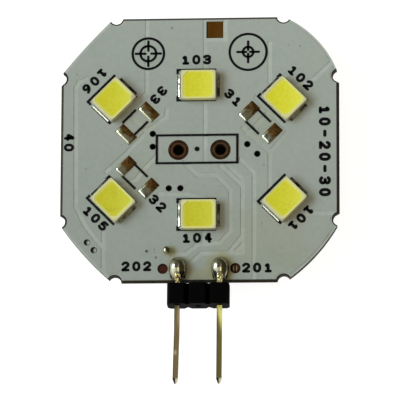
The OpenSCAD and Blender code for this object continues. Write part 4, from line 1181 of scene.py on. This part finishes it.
class LEDMOD_OT_print_marks(bpy.types.Operator):
    """Prints the plain numbers and the two target marks on the board"""

    bl_idname = "ledmod.print_marks"
    bl_label = "Print Marks"

    def execute(self, context):
        look = context.scene.ledmod_print
        ink = ink_finish(context.scene.ledmod_board)
        bm = bmesh.new()
        for line in NUMBERS:
            print_number(bm, line, (look.width, look.height), look.pitch, look.stroke, look.ink_depth)
        side_size = (look.width * SIDE_WIDTH, look.side_height)
        side_stroke = look.stroke * SIDE_STROKE
        print_number(bm, SIDE_NUMBER, side_size, look.side_pitch, side_stroke, look.ink_depth)
        add_piece("printed_numbers", bm, ink, smooth=False)
        bm = bmesh.new()
        half = look.stroke * TARGET_STROKE / 2
        heights = (MASK_TOP, MASK_TOP + look.ink_depth)
        for setting, x, y, inner in TARGETS:
            radius = getattr(look, setting)
            add_stroke(bm, ring_points(x, y, radius), True, half, *heights)
            add_stroke(bm, ring_points(x, y, radius * inner, 48), True, half, *heights)
            middle = Vector((x * MM, y * MM))
            for angle in (0, 90, 180, 270):
                away = Vector((math.cos(math.radians(angle)), math.sin(math.radians(angle))))
                line = [middle + away * radius * inner * 0.4, middle + away * radius * (inner + 0.3)]
                add_stroke(bm, line, False, half, *heights)
        add_piece("printed_targets", bm, ink, smooth=False)
        return {"FINISHED"}


class LEDMOD_OT_dress_leds(bpy.types.Operator):
    """Gives the LEDs their housings, phosphor and terminals"""

    bl_idname = "ledmod.dress_leds"
    bl_label = "Dress LEDs"

    def execute(self, context):
        look = context.scene.ledmod_led
        tin = solder_finish("LED terminals", context.scene.ledmod_metal.tin, 0.2, 3)
        for index, place in enumerate(LED_PLACES, 1):
            dress(housing_finish(look, index, *place), f"led_{index}_housing", edge=0.03)
            dress(phosphor_finish(look, index, *place), f"led_{index}_phosphor")
            dress(tin, f"led_{index}_terminals", edge=0.03)
        dress(ceramic_finish("Die", (0.10, 0.17, 0.36), (0.15, 0.24, 0.46), 0.2), "led_dies")
        return {"FINISHED"}


class LEDMOD_OT_melt_solder(bpy.types.Operator):
    """Makes the solder on pads, pins and LED ends"""

    bl_idname = "ledmod.melt_solder"
    bl_label = "Melt Solder"

    def execute(self, context):
        look = context.scene.ledmod_metal
        dress(solder_finish("Solder", look.solder, 0.14, 1), "back_solder_joints", smooth_angle=50.0)
        dress(solder_finish("Bead", (0.42, 0.40, 0.24), 0.16, 2), "loose_solder_bead", smooth_angle=50.0)
        dress(joint_finish(look), "led_solder_joints", smooth_angle=50.0)
        bm = bmesh.new()
        for side, name in ((-1, "left"), (1, "right")):
            tail = Vector((0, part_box(f"pin_{name}")[1].y, PIN_TAIL_Z * MM))
            pin_blob(bm, side * PIN_X * MM, *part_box(f"pin_{name}_solder"), tail, side)
        blobs = add_piece("pin_solder_blobs", bm, blob_finish(look))
        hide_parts("pin_left_solder", "pin_right_solder")

        foil_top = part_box("front_copper")[1].z
        height = (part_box("resistor_pad_solder")[1].z - foil_top) * DOME_SHARE
        bm = bmesh.new()
        thin = bm.verts.layers.float.new("thin")
        for place, (x, y, turn) in enumerate(PLACE_CENTRES):
            along = Vector((math.cos(math.radians(turn)), math.sin(math.radians(turn)), 0))
            for seed, end in ((2 * place + 1, -1), (2 * place + 2, 1)):
                middle = Vector((x, y, 0)) * MM + along * end * PLACE_PITCH / 2 * MM
                middle += Vector((0, 0, foil_top))
                pad_dome(bm, thin, middle, turn, height, seed)
        domes = add_piece("pad_solder_domes", bm, pad_solder_finish(look))
        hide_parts("resistor_pad_solder")
        return {"FINISHED"}


class LEDMOD_OT_dress_header(bpy.types.Operator):
    """Gives the header its black nylon and the pins their gilding"""

    bl_idname = "ledmod.dress_header"
    bl_label = "Dress Header"

    def execute(self, context):
        dress(nylon_finish(), "header_housing", edge=0.05, segments=3)
        dress(gilt_finish(context.scene.ledmod_metal), "pin_left", "pin_right", edge=0.045, segments=3)
        return {"FINISHED"}


class LEDMOD_OT_dress_driver(bpy.types.Operator):
    """Gives the parts on the back their finishes"""

    bl_idname = "ledmod.dress_driver"
    bl_label = "Dress Driver"

    def execute(self, context):
        tin = solder_finish("Tinned leads", context.scene.ledmod_metal.tin, 0.24, 5)
        diodes = [f"bridge_diode_{i}" for i in range(1, 5)] + ["freewheel_diode"]
        for name in diodes:
            # The band lies across the body, near one of its ends
            low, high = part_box(f"{name}_body")
            along = 1 if high.y - low.y > high.x - low.x else 0
            low[along] = high[along] - BAND_EDGES[0] * MM
            high[along] -= BAND_EDGES[1] * MM
            dress(epoxy_finish(band=(low, high)), f"{name}_body", edge=0.04)
        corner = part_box("driver_chip_body")[0]
        dimple = (corner.x / MM + DIMPLE_INSET, corner.y / MM + DIMPLE_INSET)
        dress(epoxy_finish(dot=dimple), "driver_chip_body", edge=0.04)
        leads = [f"{name}_leads" for name in (*diodes, "driver_chip")]
        dress(tin, *leads, "inductor_terminals", "capacitor_end_caps", "chip_resistor_end_caps", edge=0.03)
        ferrite = ceramic_finish("Ferrite", (0.030, 0.030, 0.033), (0.062, 0.062, 0.068), 0.6)
        dress(ferrite, "inductor_shield", "inductor_core", edge=0.05)
        dress(wire_finish(), "inductor_coil")
        ceramic = ceramic_finish("Capacitor", (0.23, 0.135, 0.055), (0.33, 0.21, 0.10), 0.4)
        dress(ceramic, "input_capacitor_body", "output_capacitor_body")
        glaze = ceramic_finish("Resistor", (0.012, 0.013, 0.017), (0.03, 0.032, 0.04), 0.3)
        dress(glaze, "chip_resistor_bodies")
        return {"FINISHED"}


def set_world(look):
    """A studio with a bright side, a dim brown side and a dark ceiling, and white to the camera."""
    world = bpy.data.worlds.new("Studio")
    bpy.context.scene.world = world
    g = Tree(world, "OutputWorld")
    view = g.add("TexCoord").outputs["Generated"]
    towards_light = g.vector("DOT_PRODUCT", view, Vector(BRIGHT_SIDE_AXIS).normalized())
    upwards = g.vector("DOT_PRODUCT", view, Vector(CEILING_AXIS).normalized())
    sides = g.add("ValToRGB", {"Fac": g.spread(towards_light, -1.0, 1.0)})
    stops = sides.color_ramp.elements
    stops[0].position, stops[0].color = 0.0, (*look.dim_side, 1)
    stops[1].position, stops[1].color = 1.0, (*look.bright_side, 1)
    for position, colour in SIDE_STOPS:
        stops.new(position).color = (*colour, 1)
    studio = g.mix(g.spread(upwards, *CEILING_EDGE), sides.outputs["Color"], look.ceiling)
    path = g.add("LightPath").outputs
    light = g.mix(path["Is Diffuse Ray"], studio, look.fill)
    sky = g.add("Background", {"Color": light, "Strength": look.sky_strength})
    white = g.add("Background", {"Color": (1, 1, 1)})
    g.show(g.most(path["Is Camera Ray"], path["Is Transmission Ray"]), sky, white)


def floor_finish(look):
    """Pale paper that the camera, metal and glass see glow white all round the part, with painted shade
    beneath it.
    """
    g = Finish("Floor")
    g.surface(Base_Color=(0.80, 0.80, 0.80), Roughness=0.9)
    where = g.axes()
    aside = g.away(where["X"])
    beyond = g.away(where["Y"], PATCH_MIDDLE_Y * MM)
    askew = g.times(g.math("ADD", aside, beyond), PATCH_CORNERS)
    around = g.ramp(g.most(aside, beyond, askew), *PATCH_EDGE)
    path = g.add("LightPath").outputs
    near = g.ramp(g.vector("LENGTH", g.flat), *MIRRORED_REACH)
    near = g.most(near, g.math("SUBTRACT", 1.0, path["Is Glossy Ray"]))
    # Painted shade: the floor's glow and colour fall away under the board
    glow = g.add("Emission", {"Color": (1, 1, 1), "Strength": g.times(around, near, look.floor_glow)})
    sheet = g.add("BsdfDiffuse", {"Color": g.mix(around, (0.03, 0.03, 0.03), (0.3, 0.3, 0.3))})
    both = g.add("AddShader", {0: sheet.outputs[0], 1: glow.outputs[0]})
    g.show(g.most(path["Is Camera Ray"], path["Is Glossy Ray"], path["Is Transmission Ray"]), g.shader, both)
    return g.material


class LEDMOD_OT_set_studio(bpy.types.Operator):
    """Sets up the white floor, the soft window light and the camera above the board"""

    bl_idname = "ledmod.set_studio"
    bl_label = "Set Studio"

    def execute(self, context):
        look = context.scene.ledmod_studio
        scene = context.scene
        scene.view_settings.view_transform = "Standard"

        bm = bmesh.new()
        bmesh.ops.create_grid(bm, x_segments=8, y_segments=8, size=1.5)
        mesh = bpy.data.meshes.new("floor")
        bm.to_mesh(mesh)
        bm.free()
        mesh.materials.append(floor_finish(look))
        floor = bpy.data.objects.new("floor", mesh)
        floor.location.z = FLOOR_Z - FLOOR_GAP * MM
        scene.collection.objects.link(floor)

        set_world(look)

        window = bpy.data.lights.new("Window", "AREA")
        window.shape = "RECTANGLE"
        window.size, window.size_y = WINDOW_SIZE
        window.energy = look.key_power
        window.color = look.key_colour
        lamp = bpy.data.objects.new("Window", window)
        lamp.location = WINDOW_PLACE
        lamp.rotation_euler = (-Vector(lamp.location)).to_track_quat("-Z", "Y").to_euler()
        scene.collection.objects.link(lamp)

        back = Vector((
            math.sin(look.turn),
            -math.sin(look.tilt) * math.cos(look.turn),
            math.cos(look.tilt) * math.cos(look.turn),
        )).normalized()
        camera_data = bpy.data.cameras.new("Camera")
        camera_data.sensor_width = 36.0
        camera_data.lens = look.lens
        camera_data.clip_start = 0.01
        camera_data.clip_end = 10.0
        camera = bpy.data.objects.new("Camera", camera_data)
        camera.location = back * look.distance
        aim = Vector((look.aim_x, look.aim_y, 0))
        forward = (aim - camera.location).normalized()
        right = forward.cross(Vector((0, 1, 0))).normalized()
        up = right.cross(forward)
        rolled_right = right * math.cos(look.roll) + up * math.sin(look.roll)
        rolled_up = up * math.cos(look.roll) - right * math.sin(look.roll)
        turn = Matrix((rolled_right, rolled_up, -forward)).transposed()
        camera.rotation_euler = turn.to_euler()
        scene.collection.objects.link(camera)
        scene.camera = camera
        return {"FINISHED"}


class LEDMOD_PT_panel(bpy.types.Panel):
    """Lists the steps that dress the LED module, and their settings"""

    bl_idname = "LEDMOD_PT_panel"
    bl_label = "LED Module"
    bl_space_type = "VIEW_3D"
    bl_region_type = "UI"
    bl_category = "LED Module"

    def draw(self, context):
        for operator in OPERATORS:
            self.layout.operator(operator.bl_idname)
        for name in GROUPS:
            box = self.layout.box()
            settings = getattr(context.scene, name)
            for key in settings.__annotations__:
                box.prop(settings, key)


OPERATORS = (
    LEDMOD_OT_dress_board,
    LEDMOD_OT_print_marks,
    LEDMOD_OT_dress_leds,
    LEDMOD_OT_melt_solder,
    LEDMOD_OT_dress_header,
    LEDMOD_OT_dress_driver,
    LEDMOD_OT_set_studio,
)
GROUPS = {
    "ledmod_board": BoardLook,
    "ledmod_print": PrintLook,
    "ledmod_led": LedLook,
    "ledmod_metal": MetalLook,
    "ledmod_studio": StudioLook,
}


def register():
    for group in GROUPS.values():
        bpy.utils.register_class(group)
    for cls in (*OPERATORS, LEDMOD_PT_panel):
        bpy.utils.register_class(cls)
    for name, group in GROUPS.items():
        setattr(bpy.types.Scene, name, PointerProperty(type=group))


def unregister():
    for name in GROUPS:
        delattr(bpy.types.Scene, name)
    for cls in (LEDMOD_PT_panel, *reversed(OPERATORS)):
        bpy.utils.unregister_class(cls)
    for group in reversed(list(GROUPS.values())):
        bpy.utils.unregister_class(group)


def main():
    register()
    bpy.ops.ledmod.dress_board()
    bpy.ops.ledmod.print_marks()
    bpy.ops.ledmod.dress_leds()
    bpy.ops.ledmod.melt_solder()
    bpy.ops.ledmod.dress_header()
    bpy.ops.ledmod.dress_driver()
    bpy.ops.ledmod.set_studio()


if __name__ == "__main__":
    main()
